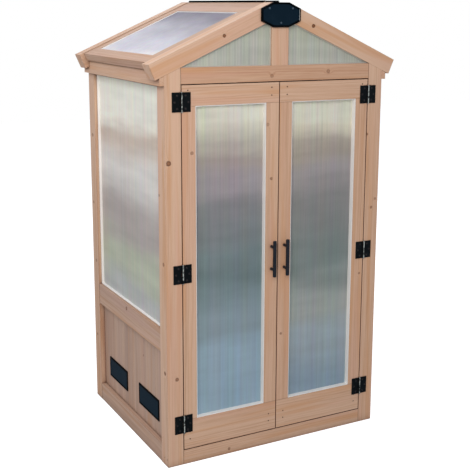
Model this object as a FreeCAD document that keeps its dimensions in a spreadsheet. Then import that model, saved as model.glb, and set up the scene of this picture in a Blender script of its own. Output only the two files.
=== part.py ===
import FreeCAD, Part
import os
import re
import Sketcher

# Wooden mini greenhouse: a timber cabinet with a gabled roof, two glazed doors at the front,
# twin-wall panes, boarded lower walls with four closable vents, three slatted shelves and
# two roof panels that hinge at the ridge.
# Millimetres. The doors face -Y, +X is to the right and +Z is up. The origin lies on the
# ground at the middle of the space that the greenhouse takes, handles included.

document = FreeCAD.newDocument("MiniGreenhouse")

# Driving dimensions: name, value, meaning
SIZES = [
    ("body_width", 800, "outside of the posts, left to right"),
    ("body_depth", 684, "outside of the posts, front to rear"),
    ("post_size", 54, "square section of the four posts"),
    ("header_top", 1289, "top of the wall frame at the inner edge of the posts"),
    ("header_height", 50, "front header rail"),
    ("sill_height", 49, "front sill rail"),
    ("rail_thickness", 38, "thickness of header, sill and wall rails"),
    ("rail_inset", 1, "wall rails stand back from the post faces"),
    ("wall_pane_top", 1230, "lower edge of the top rails of side and rear walls"),
    ("mid_rail_top", 456, "top of the middle rails"),
    ("mid_rail_height", 75, "height of the middle rails"),
    ("bottom_rail_height", 62, "height of the bottom rails"),
    ("roof_pitch", 24, "slope of the roof in degrees"),
    ("rafter_depth", 51, "rafter, square to the slope"),
    ("rafter_thickness", 54, "rafter, front to rear"),
    ("eave_reach", 49, "rafter tips beyond the side of the body"),
    ("ridge_flat_width", 60, "flat cut across the top of the rafters"),
    ("king_post_width", 62, "upright in the middle of each gable"),
    ("batten_thickness", 15, "eave batten outside the posts"),
    ("batten_bottom", 1235, "lower edge of the eave battens"),
    ("batten_top", 1281, "upper edge of the eave battens between the rafters"),
    ("joint_play", 0.3, "small gap between parts that only rest near each other"),
    ("pane_thickness", 6, "twin-wall sheet"),
    ("pane_play", 0.25, "gap between a pane and the walls of its groove"),
    ("groove_depth", 8, "grooves that hold panes and boards"),
    ("side_pane_recess", 20, "side and rear panes, behind the post faces"),
    ("gable_pane_recess", 12, "gable panes, behind the rafter faces"),
    ("gable_pane_inset", 6, "outer end of a gable pane, inside the post"),
    ("edging_thickness", 2.5, "pale strip that lines the edge of each pane"),
    ("edging_depth", 9, "how far the strip stands out in front of a wall pane"),
    ("gable_edging_depth", 6, "how far the strip stands out in front of a gable pane"),
    ("board_thickness", 12, "wall boards"),
    ("board_inset", 18, "wall boards behind the post faces"),
    ("board_tongue", 5, "tongue of a board"),
    ("board_chamfer", 1.5, "bevel along the visible edges of a board"),
    ("side_board_count", 6, "boards in each side wall"),
    ("rear_board_count", 7, "boards in the rear wall"),
    ("door_gap", 3, "gap around and between the doors"),
    ("door_thickness", 34, "door frame timber"),
    ("door_top_rail", 64, "height of a door's top rail"),
    ("door_bottom_rail", 100, "height of a door's bottom rail"),
    ("door_stile", 46, "width of a door's stiles"),
    ("door_pane_recess", 18, "door panes behind the door faces"),
    ("door_edging_lip", 1, "door edging strip behind the door face"),
    ("hinge_height", 60, "door hinges"),
    ("hinge_reach", 31, "width of one leaf from the hinge axis"),
    ("hinge_leaf", 2, "thickness of a door hinge leaf"),
    ("hinge_barrel_radius", 3.5, "outside of the door hinge knuckles"),
    ("hinge_pin_radius", 1.6, "pins of the door hinges"),
    ("hinge_pin_play", 0.05, "running clearance of all hinge pins"),
    ("hinge_head_radius", 2.8, "heads of the door hinge pins"),
    ("hinge_head_height", 1.5, "heads of the door hinge pins"),
    ("knuckle_gap", 0.4, "between neighbouring knuckles and around them"),
    ("hinge_top_drop", 51, "top hinge centre below the top of the door"),
    ("hinge_bottom_rise", 88, "bottom hinge centre above the foot of the door"),
    ("screw_pitch", 20, "between the screws of a leaf, along the hinge"),
    ("screw_near", 14, "outer screws of a leaf, from the hinge axis"),
    ("screw_far", 23, "middle screw of a leaf, from the hinge axis"),
    ("screw_head_radius", 3.4, "countersunk heads of the hinge screws"),
    ("screw_shank_radius", 1.75, "shanks of the hinge screws"),
    ("screw_length", 18, "hinge screws"),
    ("handle_height", 660, "middle of the handles above the ground"),
    ("handle_length", 122, "handle bar"),
    ("handle_centres", 76, "between the feet of a handle"),
    ("handle_standoff", 24, "axis of the handle bar in front of the door"),
    ("handle_bar_radius", 6, "handle bar"),
    ("handle_end_bevel", 1.5, "bevel round the ends of the handle bar"),
    ("handle_foot_radius", 4.5, "feet of the handle"),
    ("handle_screw_radius", 2, "screws that hold the handles from behind"),
    ("handle_screw_grip", 9, "length of a handle screw inside its foot"),
    ("handle_screw_play", 0.4, "clearance hole for a handle screw"),
    ("handle_screw_head", 4, "radius of the head of a handle screw"),
    ("handle_screw_head_height", 2.5, "head of a handle screw"),
    ("catch_width", 38, "magnetic catch"),
    ("catch_depth", 14, "magnetic catch, front to rear"),
    ("catch_drop", 22, "magnetic catch below the header"),
    ("catch_rise", 20, "magnetic catch behind the header"),
    ("catch_margin", 2, "poles and strike plates inside the outline of a catch"),
    ("strike_thickness", 1.5, "steel plate on the door"),
    ("strike_height", 16, "steel plate on the door"),
    ("nail_radius", 2.2, "nails of the joints"),
    ("nail_length", 30, "nails through the door joints"),
    ("nail_spacing", 25, "between the two nails of a door joint"),
    ("nail_drop", 28, "middle of the upper nails below the top of a door"),
    ("nail_rise", 45, "middle of the lower nails above the foot of a door"),
    ("nail_inner", 27, "nails from the meeting edge of a door"),
    ("nail_outer", 21, "nails from the hinge edge of a door"),
    ("frame_nail_length", 80, "nails through the posts into sill and header"),
    ("gable_plate_width", 141, "eight-sided plate at the gable"),
    ("gable_plate_height", 77, "eight-sided plate at the gable"),
    ("gable_plate_thickness", 7, "eight-sided plate at the gable"),
    ("gable_plate_corner_width", 42, "sloping corner of the plate, sideways"),
    ("gable_plate_corner_height", 19, "sloping corner of the plate, upwards"),
    ("gable_plate_rim", 4, "raised rim of the plate"),
    ("gable_plate_rim_height", 1.5, "raised rim of the plate"),
    ("gable_screw_side", 42, "upper plate screws from the middle"),
    ("gable_screw_up", 20, "upper plate screws above the plate's middle"),
    ("gable_screw_down", 25, "lower plate screw below the plate's middle"),
    ("panel_setback", 16, "roof panel behind the rafter tips, along the slope"),
    ("panel_drop", 2, "roof panel below the tops of the rafters"),
    ("panel_thickness", 26, "roof panel timber"),
    ("panel_gap", 1, "between a roof panel and the rafters"),
    ("panel_eave_rail", 46, "lower rail of a roof panel"),
    ("panel_side_rail", 50, "side rails of a roof panel"),
    ("panel_opening", 324, "glazed opening of a roof panel along the slope"),
    ("roof_pane_recess", 4, "roof pane below the face of its panel"),
    ("roof_edging_lip", 1, "roof edging strip below the face of its panel"),
    ("ridge_board_width", 44, "ridge board"),
    ("ridge_board_height", 60, "ridge board"),
    ("ridge_strip_thickness", 5, "black strip on the ridge board"),
    ("ridge_strip_inset", 1.5, "strip behind the sides of the ridge board"),
    ("roof_joint_gap", 4, "between the ridge board and a roof panel"),
    ("roof_leaf", 1.5, "thickness of a ridge hinge leaf"),
    ("roof_leaf_height", 20, "height of a ridge hinge leaf"),
    ("roof_barrel_radius", 3, "knuckles of the ridge hinges"),
    ("roof_pin_radius", 1.2, "pins of the ridge hinges"),
    ("roof_knuckle_count", 11, "knuckles along each ridge hinge"),
    ("vent_width", 175, "outside of a wall vent"),
    ("vent_height", 74, "outside of a wall vent"),
    ("vent_border", 6, "visible rim of a wall vent"),
    ("vent_proud", 3, "rim of a wall vent in front of the boards"),
    ("vent_sleeve_depth", 16, "sleeve of a wall vent behind the board face"),
    ("vent_sleeve_wall", 2.5, "wall of that sleeve"),
    ("vent_from_post", 145, "middle of a wall vent from the nearest post"),
    ("vent_centre_z", 150, "wall vents above the ground"),
    ("vent_hole_play", 0.4, "hole in the boards around the sleeve"),
    ("flap_thickness", 3, "vent flap"),
    ("flap_play", 1, "gap around a vent flap"),
    ("flap_pivot_drop", 5, "pivot of a flap below the top of its opening"),
    ("flap_pin_radius", 1.1, "pivot pins of a flap"),
    ("flap_pin_length", 2, "pivot pins inside the rim"),
    ("flap_stop_width", 40, "stop behind a flap"),
    ("flap_stop_depth", 3, "stop behind a flap"),
    ("upper_shelf_top", 892, "top face of the upper shelf"),
    ("middle_shelf_top", 570, "top face of the middle shelf"),
    ("lower_shelf_top", 235, "top face of the lower shelf"),
    ("slat_count", 5, "slats in a shelf"),
    ("slat_thickness", 15, "shelf slats"),
    ("slat_gap", 19, "between the shelf slats"),
    ("slat_end_play", 1, "between the slat ends and the posts"),
    ("shelf_batten_width", 30, "battens under the slats"),
    ("shelf_batten_height", 15, "battens under the slats"),
    ("shelf_batten_place", 200, "battens from the middle of the shelf"),
    ("cleat_thickness", 20, "cleats that carry the shelves"),
    ("cleat_height", 30, "cleats that carry the shelves"),
]

# Values worked out from the driving dimensions: name, formula
FORMULAS = [
    ("half_width", "body_width / 2"),
    ("inner_x", "body_width / 2 - post_size"),
    ("middle_y", "(handle_standoff + handle_bar_radius) / 2"),
    ("front_y", "middle_y - body_depth / 2"),
    ("rear_y", "middle_y + body_depth / 2"),
    ("front_inner_y", "front_y + post_size"),
    ("rear_inner_y", "rear_y - post_size"),
    ("header_bottom", "header_top - header_height"),
    ("mid_rail_bottom", "mid_rail_top - mid_rail_height"),
    ("pitch_sine", "sin(roof_pitch)"),
    ("pitch_cosine", "cos(roof_pitch)"),
    ("pitch_tangent", "tan(roof_pitch)"),
    ("under_apex", "header_top + inner_x * pitch_tangent"),
    ("over_apex", "under_apex + rafter_depth / pitch_cosine"),
    ("tip_x", "half_width + eave_reach"),
    ("tip_z", "over_apex - tip_x * pitch_tangent"),
    ("flat_z", "over_apex - ridge_flat_width / 2 * pitch_tangent"),
    ("king_half", "king_post_width / 2"),
    ("wall_rail_outer", "half_width - rail_inset"),
    ("wall_rail_inner", "half_width - rail_inset - rail_thickness"),
    ("side_board_row", "rear_inner_y - front_inner_y + 2 * groove_depth - board_tongue"),
    ("side_board_pitch", "side_board_row / side_board_count"),
    ("rear_board_row", "2 * inner_x + 2 * groove_depth - board_tongue"),
    ("rear_board_pitch", "rear_board_row / rear_board_count"),
    ("door_inner_x", "door_gap / 2"),
    ("door_outer_x", "inner_x - door_gap"),
    ("door_bottom", "sill_height + door_gap"),
    ("door_top", "header_bottom - door_gap"),
    ("door_back_y", "front_y + door_thickness"),
    ("door_pane_left", "door_inner_x + door_stile"),
    ("door_pane_right", "door_outer_x - door_stile"),
    ("door_pane_bottom", "door_bottom + door_bottom_rail"),
    ("door_pane_top", "door_top - door_top_rail"),
    ("hinge_x", "inner_x - door_gap / 2"),
    ("hinge_y", "front_y - hinge_barrel_radius"),
    ("hinge_top_z", "door_top - hinge_top_drop"),
    ("hinge_middle_z", "(door_top + door_bottom) / 2"),
    ("hinge_bottom_z", "door_bottom + hinge_bottom_rise"),
    ("handle_x", "door_inner_x + door_stile / 2"),
    ("gable_plate_z", "flat_z - gable_plate_height / 2"),
    ("panel_front_y", "front_y + rafter_thickness + panel_gap"),
    ("panel_rear_y", "rear_y - rafter_thickness - panel_gap"),
    ("panel_under_apex", "over_apex - (panel_drop + panel_thickness) / pitch_cosine"),
    ("panel_over_apex", "over_apex - panel_drop / pitch_cosine"),
    ("panel_open_start", "panel_setback + panel_eave_rail"),
    ("panel_open_end", "panel_open_start + panel_opening"),
    ("ridge_half", "ridge_board_width / 2"),
    ("panel_end_x", "ridge_half + roof_joint_gap"),
    ("ridge_board_top", "flat_z - ridge_strip_thickness"),
    ("ridge_hinge_x", "ridge_half + roof_joint_gap / 2"),
    ("ridge_hinge_z", "panel_over_apex - panel_end_x * pitch_tangent + roof_barrel_radius + joint_play"),
    ("ridge_leaf_top", "ridge_hinge_z - roof_barrel_radius - knuckle_gap"),
    ("ridge_knuckle", "(panel_rear_y - panel_front_y) / roof_knuckle_count"),
    ("vent_face_x", "half_width - board_inset"),
    ("vent_half_width", "vent_width / 2 - vent_border"),
    ("vent_bottom", "vent_centre_z - vent_height / 2 + vent_border"),
    ("vent_top", "vent_centre_z + vent_height / 2 - vent_border"),
    ("flap_pivot_z", "vent_top - flap_pivot_drop"),
    ("flap_pivot_x", "vent_face_x + vent_proud - joint_play - flap_thickness / 2"),
    ("slat_width", "(rear_inner_y - front_inner_y - (slat_count - 1) * slat_gap) / slat_count"),
]

SIDES = (("left", -1), ("right", 1))

sizes = document.addObject("Spreadsheet::Sheet", "Sizes")
for row, (name, value, meaning) in enumerate(SIZES, 1):
    sizes.set("A%d" % row, name)
    sizes.set("B%d" % row, str(value))
    sizes.set("C%d" % row, meaning)
    sizes.setAlias("B%d" % row, name)
SIZE_NAMES = {name for name, value, meaning in SIZES}
WORKED_NAMES = {name for name, formula in FORMULAS}


def refer(text, home=""):
    """Puts the sheet's name before each size in a formula, except in the home sheet."""
    def with_sheet(match):
        word = match.group(0)
        if word in SIZE_NAMES:
            return "Sizes." + word
        if word in WORKED_NAMES and home != "Worked":
            return "Worked." + word
        return word
    return re.sub(r"[a-z_]+", with_sheet, text)


worked = document.addObject("Spreadsheet::Sheet", "Worked")
for row, (name, formula) in enumerate(FORMULAS, 1):
    worked.set("A%d" % row, name)
    worked.set("B%d" % row, "=" + refer(formula, home="Worked"))
    worked.setAlias("B%d" % row, name)
document.recompute()

nodes = []


def keep(piece):
    """Marks a finished piece as a node of its own."""
    nodes.append(piece)
    return piece


def mirrored(limits, side):
    """The same stretch of X on the other side of the middle plane."""
    low, high = limits
    return limits if side > 0 else ("-(%s)" % high, "-(%s)" % low)


def block(name, x, y, z, side=1):
    """A box between a low and a high limit along each axis."""
    piece = document.addObject("Part::Box", name)
    limits = (mirrored(x, side), y, z)
    for size, axis, (low, high) in zip(("Length", "Width", "Height"), "xyz", limits):
        piece.setExpression(size, refer("(%s) - (%s)" % (high, low)))
        piece.setExpression("Placement.Base." + axis, refer(low))
    return piece


def turned_to(axis, side):
    """The turn that lays an upright round piece along an axis."""
    if axis == "X":
        return FreeCAD.Rotation(FreeCAD.Vector(0, 1, 0), 90 * side)
    if axis == "Y":
        return FreeCAD.Rotation(FreeCAD.Vector(1, 0, 0), -90)
    return FreeCAD.Rotation()


def rod(name, start, length, radius, axis="Z", side=1):
    """A round bar from a start point along an axis."""
    piece = document.addObject("Part::Cylinder", name)
    piece.Placement = FreeCAD.Placement(FreeCAD.Vector(), turned_to(axis, side))
    piece.setExpression("Radius", refer(radius))
    piece.setExpression("Height", refer(length))
    x, y, z = start
    for letter, text in zip("xyz", (x if side > 0 else "-(%s)" % x, y, z)):
        piece.setExpression("Placement.Base." + letter, refer(text))
    return piece


def cone(name, start, length, radius_start, radius_end, axis="Y", side=1):
    """A tapered round piece from a start point along an axis."""
    piece = document.addObject("Part::Cone", name)
    piece.Placement = FreeCAD.Placement(FreeCAD.Vector(), turned_to(axis, side))
    piece.setExpression("Radius1", refer(radius_start))
    piece.setExpression("Radius2", refer(radius_end))
    piece.setExpression("Height", refer(length))
    x, y, z = start
    for letter, text in zip("xyz", (x if side > 0 else "-(%s)" % x, y, z)):
        piece.setExpression("Placement.Base." + letter, refer(text))
    return piece


def outlined_body(name, role, corners):
    """A body with a closed outline of straight lines on one of its origin planes."""
    body = document.addObject("PartDesign::Body", name)
    outline = body.newObject("Sketcher::SketchObject", name + "_outline")
    plane = [item for item in body.Origin.OriginFeatures if item.Role == role][0]
    outline.AttachmentSupport = [(plane, "")]
    outline.MapMode = "FlatFace"
    count = len(corners)
    for index in range(count):
        start = FreeCAD.Vector(10 * index, 7 * (index % 3), 0)
        following = (index + 1) % count
        end = FreeCAD.Vector(10 * following, 7 * (following % 3), 0)
        outline.addGeometry(Part.LineSegment(start, end), False)
    for index in range(count):
        following = (index + 1) % count
        outline.addConstraint(Sketcher.Constraint("Coincident", index, 2, following, 1))
    for index, corner in enumerate(corners):
        for kind, text in zip(("DistanceX", "DistanceY"), corner):
            number = outline.addConstraint(Sketcher.Constraint(kind, -1, 1, index, 1, 1.0))
            outline.setExpression("Constraints[%d]" % number, refer(text))
    pad = body.newObject("PartDesign::Pad", name + "_pad")
    pad.Profile = outline
    return body, outline, pad


def slab(name, corners, y, side=1):
    """An outline in the XZ plane, drawn for the right side, carried along Y."""
    body, outline, pad = outlined_body(name, "XZ_Plane", corners)
    low, high = y
    pad.setExpression("Length", refer("(%s) - (%s)" % (high, low)))
    if side > 0:
        body.setExpression("Placement.Base.y", refer(high))
    else:
        half_turn = FreeCAD.Rotation(FreeCAD.Vector(0, 0, 1), 180)
        body.Placement = FreeCAD.Placement(FreeCAD.Vector(), half_turn)
        body.setExpression("Placement.Base.y", refer(low))
    return body


def group(name, pieces):
    """Separate pieces that share one node."""
    together = document.addObject("Part::Compound", name)
    together.Links = pieces
    return together


def fuse(name, pieces):
    """Pieces that are one solid."""
    whole = document.addObject("Part::MultiFuse", name)
    whole.Shapes = pieces
    whole.Refine = True
    return whole


def cut(name, base, tools):
    """A piece with grooves or holes cut out of it."""
    result = document.addObject("Part::Cut", name)
    result.Base = base
    result.Tool = tools[0] if len(tools) == 1 else group(name + "_cuts", tools)
    return result


def grown(limits, amount):
    """Limits moved apart by an amount at each end."""
    low, high = limits
    return ("(%s) - (%s)" % (low, amount), "(%s) + (%s)" % (high, amount))


def ring(name, x, y, z, through, side=1):
    """A thin rectangular lining whose opening runs along one axis."""
    limits = {"x": x, "y": y, "z": z}
    inner = {}
    for axis, pair in limits.items():
        amount = "edging_thickness" if axis == through else "-edging_thickness"
        inner[axis] = grown(pair, amount)
    outer_block = block(name + "_outside", x, y, z, side)
    inner_block = block(name + "_inside", inner["x"], inner["y"], inner["z"], side)
    return cut(name, outer_block, [inner_block])


def slope_point(along, below):
    """A point of the right roof slope: distance up from the rafter tip, depth under it."""
    x = "tip_x - (%s) * pitch_cosine - (%s) * pitch_sine" % (along, below)
    z = "tip_z + (%s) * pitch_sine - (%s) * pitch_cosine" % (along, below)
    return (x, z)


def slope_outline(start, end, top, bottom):
    """Outline of a straight piece in the roof slope, cut square at both ends."""
    return [
        slope_point(start, top),
        slope_point(start, bottom),
        slope_point(end, bottom),
        slope_point(end, top),
    ]


# Limits used by more than one piece
BETWEEN_POSTS_X = ("-inner_x", "inner_x")
BETWEEN_POSTS_Y = ("front_inner_y", "rear_inner_y")
PANE_HEIGHT = ("mid_rail_top", "wall_pane_top")
BOARD_HEIGHT = ("bottom_rail_height", "mid_rail_bottom")
SIDE_PANE_X = ("half_width - side_pane_recess - pane_thickness", "half_width - side_pane_recess")
REAR_PANE_Y = ("rear_y - side_pane_recess - pane_thickness", "rear_y - side_pane_recess")
SIDE_BOARD_X = ("half_width - board_inset - board_thickness", "half_width - board_inset")
REAR_BOARD_Y = ("rear_y - board_inset - board_thickness", "rear_y - board_inset")
WALL_RAIL_X = ("wall_rail_inner", "wall_rail_outer")
REAR_RAIL_Y = ("rear_y - rail_inset - rail_thickness", "rear_y - rail_inset")
GABLE_PANE_Y = {
    "front": ("front_y + gable_pane_recess", "front_y + gable_pane_recess + pane_thickness"),
    "rear": ("rear_y - gable_pane_recess - pane_thickness", "rear_y - gable_pane_recess"),
}
GABLE_FRAME_Y = {
    "front": ("front_y", "front_y + rail_thickness"),
    "rear": ("rear_y - rail_thickness", "rear_y"),
}
RAFTER_Y = {
    "front": ("front_y", "front_y + rafter_thickness"),
    "rear": ("rear_y - rafter_thickness", "rear_y"),
}
POST_Y = {
    "front": ("front_y", "front_inner_y"),
    "rear": ("rear_inner_y", "rear_y"),
}

# Grooves for the panes and boards of the side and rear walls
wall_slots = {}
for name, side in SIDES:
    wall_slots[name] = [
        block(name + "_pane_slot", grown(SIDE_PANE_X, "pane_play"),
              grown(BETWEEN_POSTS_Y, "groove_depth + pane_play"),
              grown(PANE_HEIGHT, "groove_depth + pane_play"), side),
        block(name + "_board_slot", grown(SIDE_BOARD_X, "pane_play"),
              grown(BETWEEN_POSTS_Y, "groove_depth + pane_play"),
              grown(BOARD_HEIGHT, "groove_depth + pane_play"), side),
    ]
wall_slots["rear"] = [
    block("rear_pane_slot", grown(BETWEEN_POSTS_X, "groove_depth + pane_play"),
          grown(REAR_PANE_Y, "pane_play"), grown(PANE_HEIGHT, "groove_depth + pane_play")),
    block("rear_board_slot", grown(BETWEEN_POSTS_X, "groove_depth + pane_play"),
          grown(REAR_BOARD_Y, "pane_play"), grown(BOARD_HEIGHT, "groove_depth + pane_play")),
]


def gable_outline(grow):
    """Right half of a gable pane, with its groove depth and an extra amount all round."""
    left = "king_half - groove_depth - (%s)" % grow
    right = "inner_x - gable_pane_inset + (%s)" % grow
    bottom = "header_top - groove_depth - (%s)" % grow
    raised = "under_apex + (groove_depth + (%s)) / pitch_cosine - (%s) * pitch_tangent"
    return [(left, bottom), (right, bottom), (right, raised % (grow, right)), (left, raised % (grow, left))]


gable_slots = {}
for end in ("front", "rear"):
    gable_slots[end] = [
        slab("%s_gable_slot_%s" % (end, name), gable_outline("pane_play"),
             grown(GABLE_PANE_Y[end], "pane_play"), side)
        for name, side in SIDES
    ]

# Four posts that stand on the ground, their tops cut to the slope of the roof
for end in ("front", "rear"):
    for name, side in SIDES:
        corners = [
            ("inner_x", "0"),
            ("half_width", "0"),
            ("half_width", "header_top - post_size * pitch_tangent"),
            ("inner_x", "header_top"),
        ]
        blank = slab("%s_%s_post_blank" % (end, name), corners, POST_Y[end], side)
        slots = wall_slots[name] + (wall_slots["rear"] if end == "rear" else [])
        keep(cut("%s_%s_post" % (end, name), blank, slots))

# Header and sill of the door opening
header_blank = block("front_header_blank", BETWEEN_POSTS_X, GABLE_FRAME_Y["front"],
                     ("header_bottom", "header_top"))
keep(cut("front_header", header_blank, gable_slots["front"]))
keep(block("front_sill", BETWEEN_POSTS_X, GABLE_FRAME_Y["front"], ("0", "sill_height")))

# Three rails in each side wall; the top one is bevelled under the roof panel
for name, side in SIDES:
    rest = "panel_under_apex - joint_play / pitch_cosine - (%s) * pitch_tangent"
    corners = [
        ("wall_rail_inner", "wall_pane_top"),
        ("wall_rail_outer", "wall_pane_top"),
        ("wall_rail_outer", rest % "wall_rail_outer"),
        ("wall_rail_inner", rest % "wall_rail_inner"),
    ]
    rails = [
        slab(name + "_top_rail", corners, BETWEEN_POSTS_Y, side),
        block(name + "_mid_rail", WALL_RAIL_X, BETWEEN_POSTS_Y, ("mid_rail_bottom", "mid_rail_top"), side),
        block(name + "_bottom_rail", WALL_RAIL_X, BETWEEN_POSTS_Y, ("0", "bottom_rail_height"), side),
    ]
    keep(cut(name + "_side_rails", group(name + "_side_rails_blank", rails), wall_slots[name]))

# Three rails in the rear wall
rear_rails = [
    block("rear_top_rail", BETWEEN_POSTS_X, REAR_RAIL_Y, ("wall_pane_top", "header_top")),
    block("rear_mid_rail", BETWEEN_POSTS_X, REAR_RAIL_Y, ("mid_rail_bottom", "mid_rail_top")),
    block("rear_bottom_rail", BETWEEN_POSTS_X, REAR_RAIL_Y, ("0", "bottom_rail_height")),
]
keep(cut("rear_rails", group("rear_rails_blank", rear_rails), wall_slots["rear"] + gable_slots["rear"]))

# Battens outside the posts under the eaves, notched under the rafters
eave_battens = []
for name, side in SIDES:
    outer = "half_width + batten_thickness"
    under_rafter = "under_apex - joint_play / pitch_cosine - (%s) * pitch_tangent"
    full_length = slab(name + "_batten_foot", [
        ("half_width", "batten_bottom"),
        (outer, "batten_bottom"),
        (outer, under_rafter % outer),
        ("half_width", under_rafter % "half_width"),
    ], ("front_y", "rear_y"), side)
    between = block(name + "_batten_back", ("half_width", outer),
                    ("front_y + rafter_thickness + joint_play", "rear_y - rafter_thickness - joint_play"),
                    ("batten_bottom", "batten_top"), side)
    eave_battens.append(fuse(name + "_eave_batten", [full_length, between]))
keep(group("eave_battens", eave_battens))

# Rafters: one pair flush with each gable, their tops cut flat at the ridge
for end in ("front", "rear"):
    pair = []
    for name, side in SIDES:
        corners = [
            ("0", "under_apex"),
            slope_point("0", "rafter_depth"),
            slope_point("0", "0"),
            ("ridge_flat_width / 2", "flat_z"),
            ("0", "flat_z"),
        ]
        pair.append(slab("%s_rafter_%s" % (end, name), corners, RAFTER_Y[end], side))
    keep(cut(end + "_rafters", group(end + "_rafters_blank", pair), gable_slots[end]))

# King posts, pointed under the rafters
king_posts = []
for end in ("front", "rear"):
    shoulder = "under_apex - king_half * pitch_tangent"
    corners = [
        ("-king_half", "header_top"),
        ("king_half", "header_top"),
        ("king_half", shoulder),
        ("0", "under_apex"),
        ("-king_half", shoulder),
    ]
    blank = slab(end + "_king_post_blank", corners, GABLE_FRAME_Y[end])
    king_posts.append(cut(end + "_king_post", blank, gable_slots[end]))
keep(group("king_posts", king_posts))

# Panes of the two gables
gable_panes = [
    slab("%s_gable_pane_%s" % (end, name), gable_outline("0"), GABLE_PANE_Y[end], side)
    for end in ("front", "rear")
    for name, side in SIDES
]
keep(group("gable_panes", gable_panes))

# Panes of the side and rear walls, held in the grooves
wall_panes = [
    block(name + "_side_pane", SIDE_PANE_X, grown(BETWEEN_POSTS_Y, "groove_depth"),
          grown(PANE_HEIGHT, "groove_depth"), side)
    for name, side in SIDES
]
wall_panes.append(block("rear_pane", grown(BETWEEN_POSTS_X, "groove_depth"), REAR_PANE_Y,
                        grown(PANE_HEIGHT, "groove_depth")))
keep(group("wall_panes", wall_panes))

# Pale strips that line the edges of the fixed panes
edging = []
for name, side in SIDES:
    outside = ("half_width - side_pane_recess", "half_width - side_pane_recess + edging_depth")
    edging.append(ring(name + "_pane_edging", outside, BETWEEN_POSTS_Y, PANE_HEIGHT, "x", side))
outside = ("rear_y - side_pane_recess", "rear_y - side_pane_recess + edging_depth")
edging.append(ring("rear_pane_edging", BETWEEN_POSTS_X, outside, PANE_HEIGHT, "y"))
GABLE_EDGING_Y = {
    "front": ("front_y + gable_pane_recess - gable_edging_depth", "front_y + gable_pane_recess"),
    "rear": ("rear_y - gable_pane_recess", "rear_y - gable_pane_recess + gable_edging_depth"),
}
for end in ("front", "rear"):
    for name, side in SIDES:
        label = "%s_gable_edging_%s" % (end, name)
        outer_corners = [
            ("king_half", "header_top"),
            ("inner_x", "header_top"),
            ("king_half", "under_apex - king_half * pitch_tangent"),
        ]
        left = "king_half + edging_thickness"
        floor = "header_top + edging_thickness"
        lowered = "under_apex - edging_thickness / pitch_cosine"
        inner_corners = [
            (left, floor),
            ("(%s - (%s)) / pitch_tangent" % (lowered, floor), floor),
            (left, "%s - (%s) * pitch_tangent" % (lowered, left)),
        ]
        outer = slab(label + "_outside", outer_corners, GABLE_EDGING_Y[end], side)
        inner = slab(label + "_inside", inner_corners, grown(GABLE_EDGING_Y[end], "edging_thickness"), side)
        edging.append(cut(label, outer, [inner]))
keep(group("fixed_pane_edging", edging))


def board_row(name, count, pitch, height):
    """Upright boards joined by tongues and grooves, in a row along the body's own X."""
    third = "board_thickness / 3"
    two_thirds = "2 * board_thickness / 3"
    face = "board_thickness"
    end = "%s - joint_play" % pitch
    mouth = "board_tongue + joint_play"
    corners = [
        ("0", "0"),
        (end, "0"),
        (end, third),
        ("(%s) + board_tongue" % end, third),
        ("(%s) + board_tongue" % end, two_thirds),
        (end, two_thirds),
        (end, "%s - board_chamfer" % face),
        ("(%s) - board_chamfer" % end, face),
        ("board_chamfer", face),
        ("0", "%s - board_chamfer" % face),
        ("0", "%s + joint_play" % two_thirds),
        (mouth, "%s + joint_play" % two_thirds),
        (mouth, "%s - joint_play" % third),
        ("0", "%s - joint_play" % third),
    ]
    body, outline, pad = outlined_body(name, "XY_Plane", corners)
    low, high = height
    pad.setExpression("Length", refer("(%s) - (%s)" % (high, low)))
    body.setExpression("Placement.Base.z", refer(low))
    document.recompute()
    row = body.newObject("PartDesign::LinearPattern", name + "_row")
    row.Originals = [pad]
    row.Direction = (outline, ["H_Axis"])
    row.Mode = "Spacing"
    row.setExpression("Offset", refer(pitch))
    row.setExpression("Occurrences", refer(count))
    body.Tip = row
    return body


def turn_about_z(body, degrees, x, y):
    """Sets a body upright at a place in plan, turned about Z."""
    body.Placement = FreeCAD.Placement(FreeCAD.Vector(), FreeCAD.Rotation(FreeCAD.Vector(0, 0, 1), degrees))
    body.setExpression("Placement.Base.x", refer(x))
    body.setExpression("Placement.Base.y", refer(y))


VENT_PLACES = (("front", "front_inner_y + vent_from_post"), ("rear", "rear_inner_y - vent_from_post"))


def around(centre, half):
    """Limits at an equal distance on both sides of a centre."""
    return ("(%s) - (%s)" % (centre, half), "(%s) + (%s)" % (centre, half))


# Boarded lower walls, with holes for the vents in the sides
full_board_height = grown(BOARD_HEIGHT, "groove_depth")
for name, side in SIDES:
    boards = board_row(name + "_board_row", "side_board_count", "side_board_pitch", full_board_height)
    inner_face = "half_width - board_inset - board_thickness"
    if side > 0:
        turn_about_z(boards, -90, inner_face, "rear_inner_y + groove_depth")
    else:
        turn_about_z(boards, 90, "-(%s)" % inner_face, "front_inner_y - groove_depth")
    holes = []
    for place, centre in VENT_PLACES:
        sleeve_half = "vent_half_width + vent_sleeve_wall + vent_hole_play"
        sleeve_z = grown(("vent_bottom", "vent_top"), "vent_sleeve_wall + vent_hole_play")
        holes.append(block("%s_%s_vent_hole" % (name, place), grown(SIDE_BOARD_X, "board_thickness"),
                           around(centre, sleeve_half), sleeve_z, side))
    keep(cut(name + "_side_boards", boards, holes))
rear_boards = board_row("rear_boards", "rear_board_count", "rear_board_pitch", full_board_height)
turn_about_z(rear_boards, 0, "-inner_x - groove_depth", "rear_y - board_inset - board_thickness")
keep(rear_boards)

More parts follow.
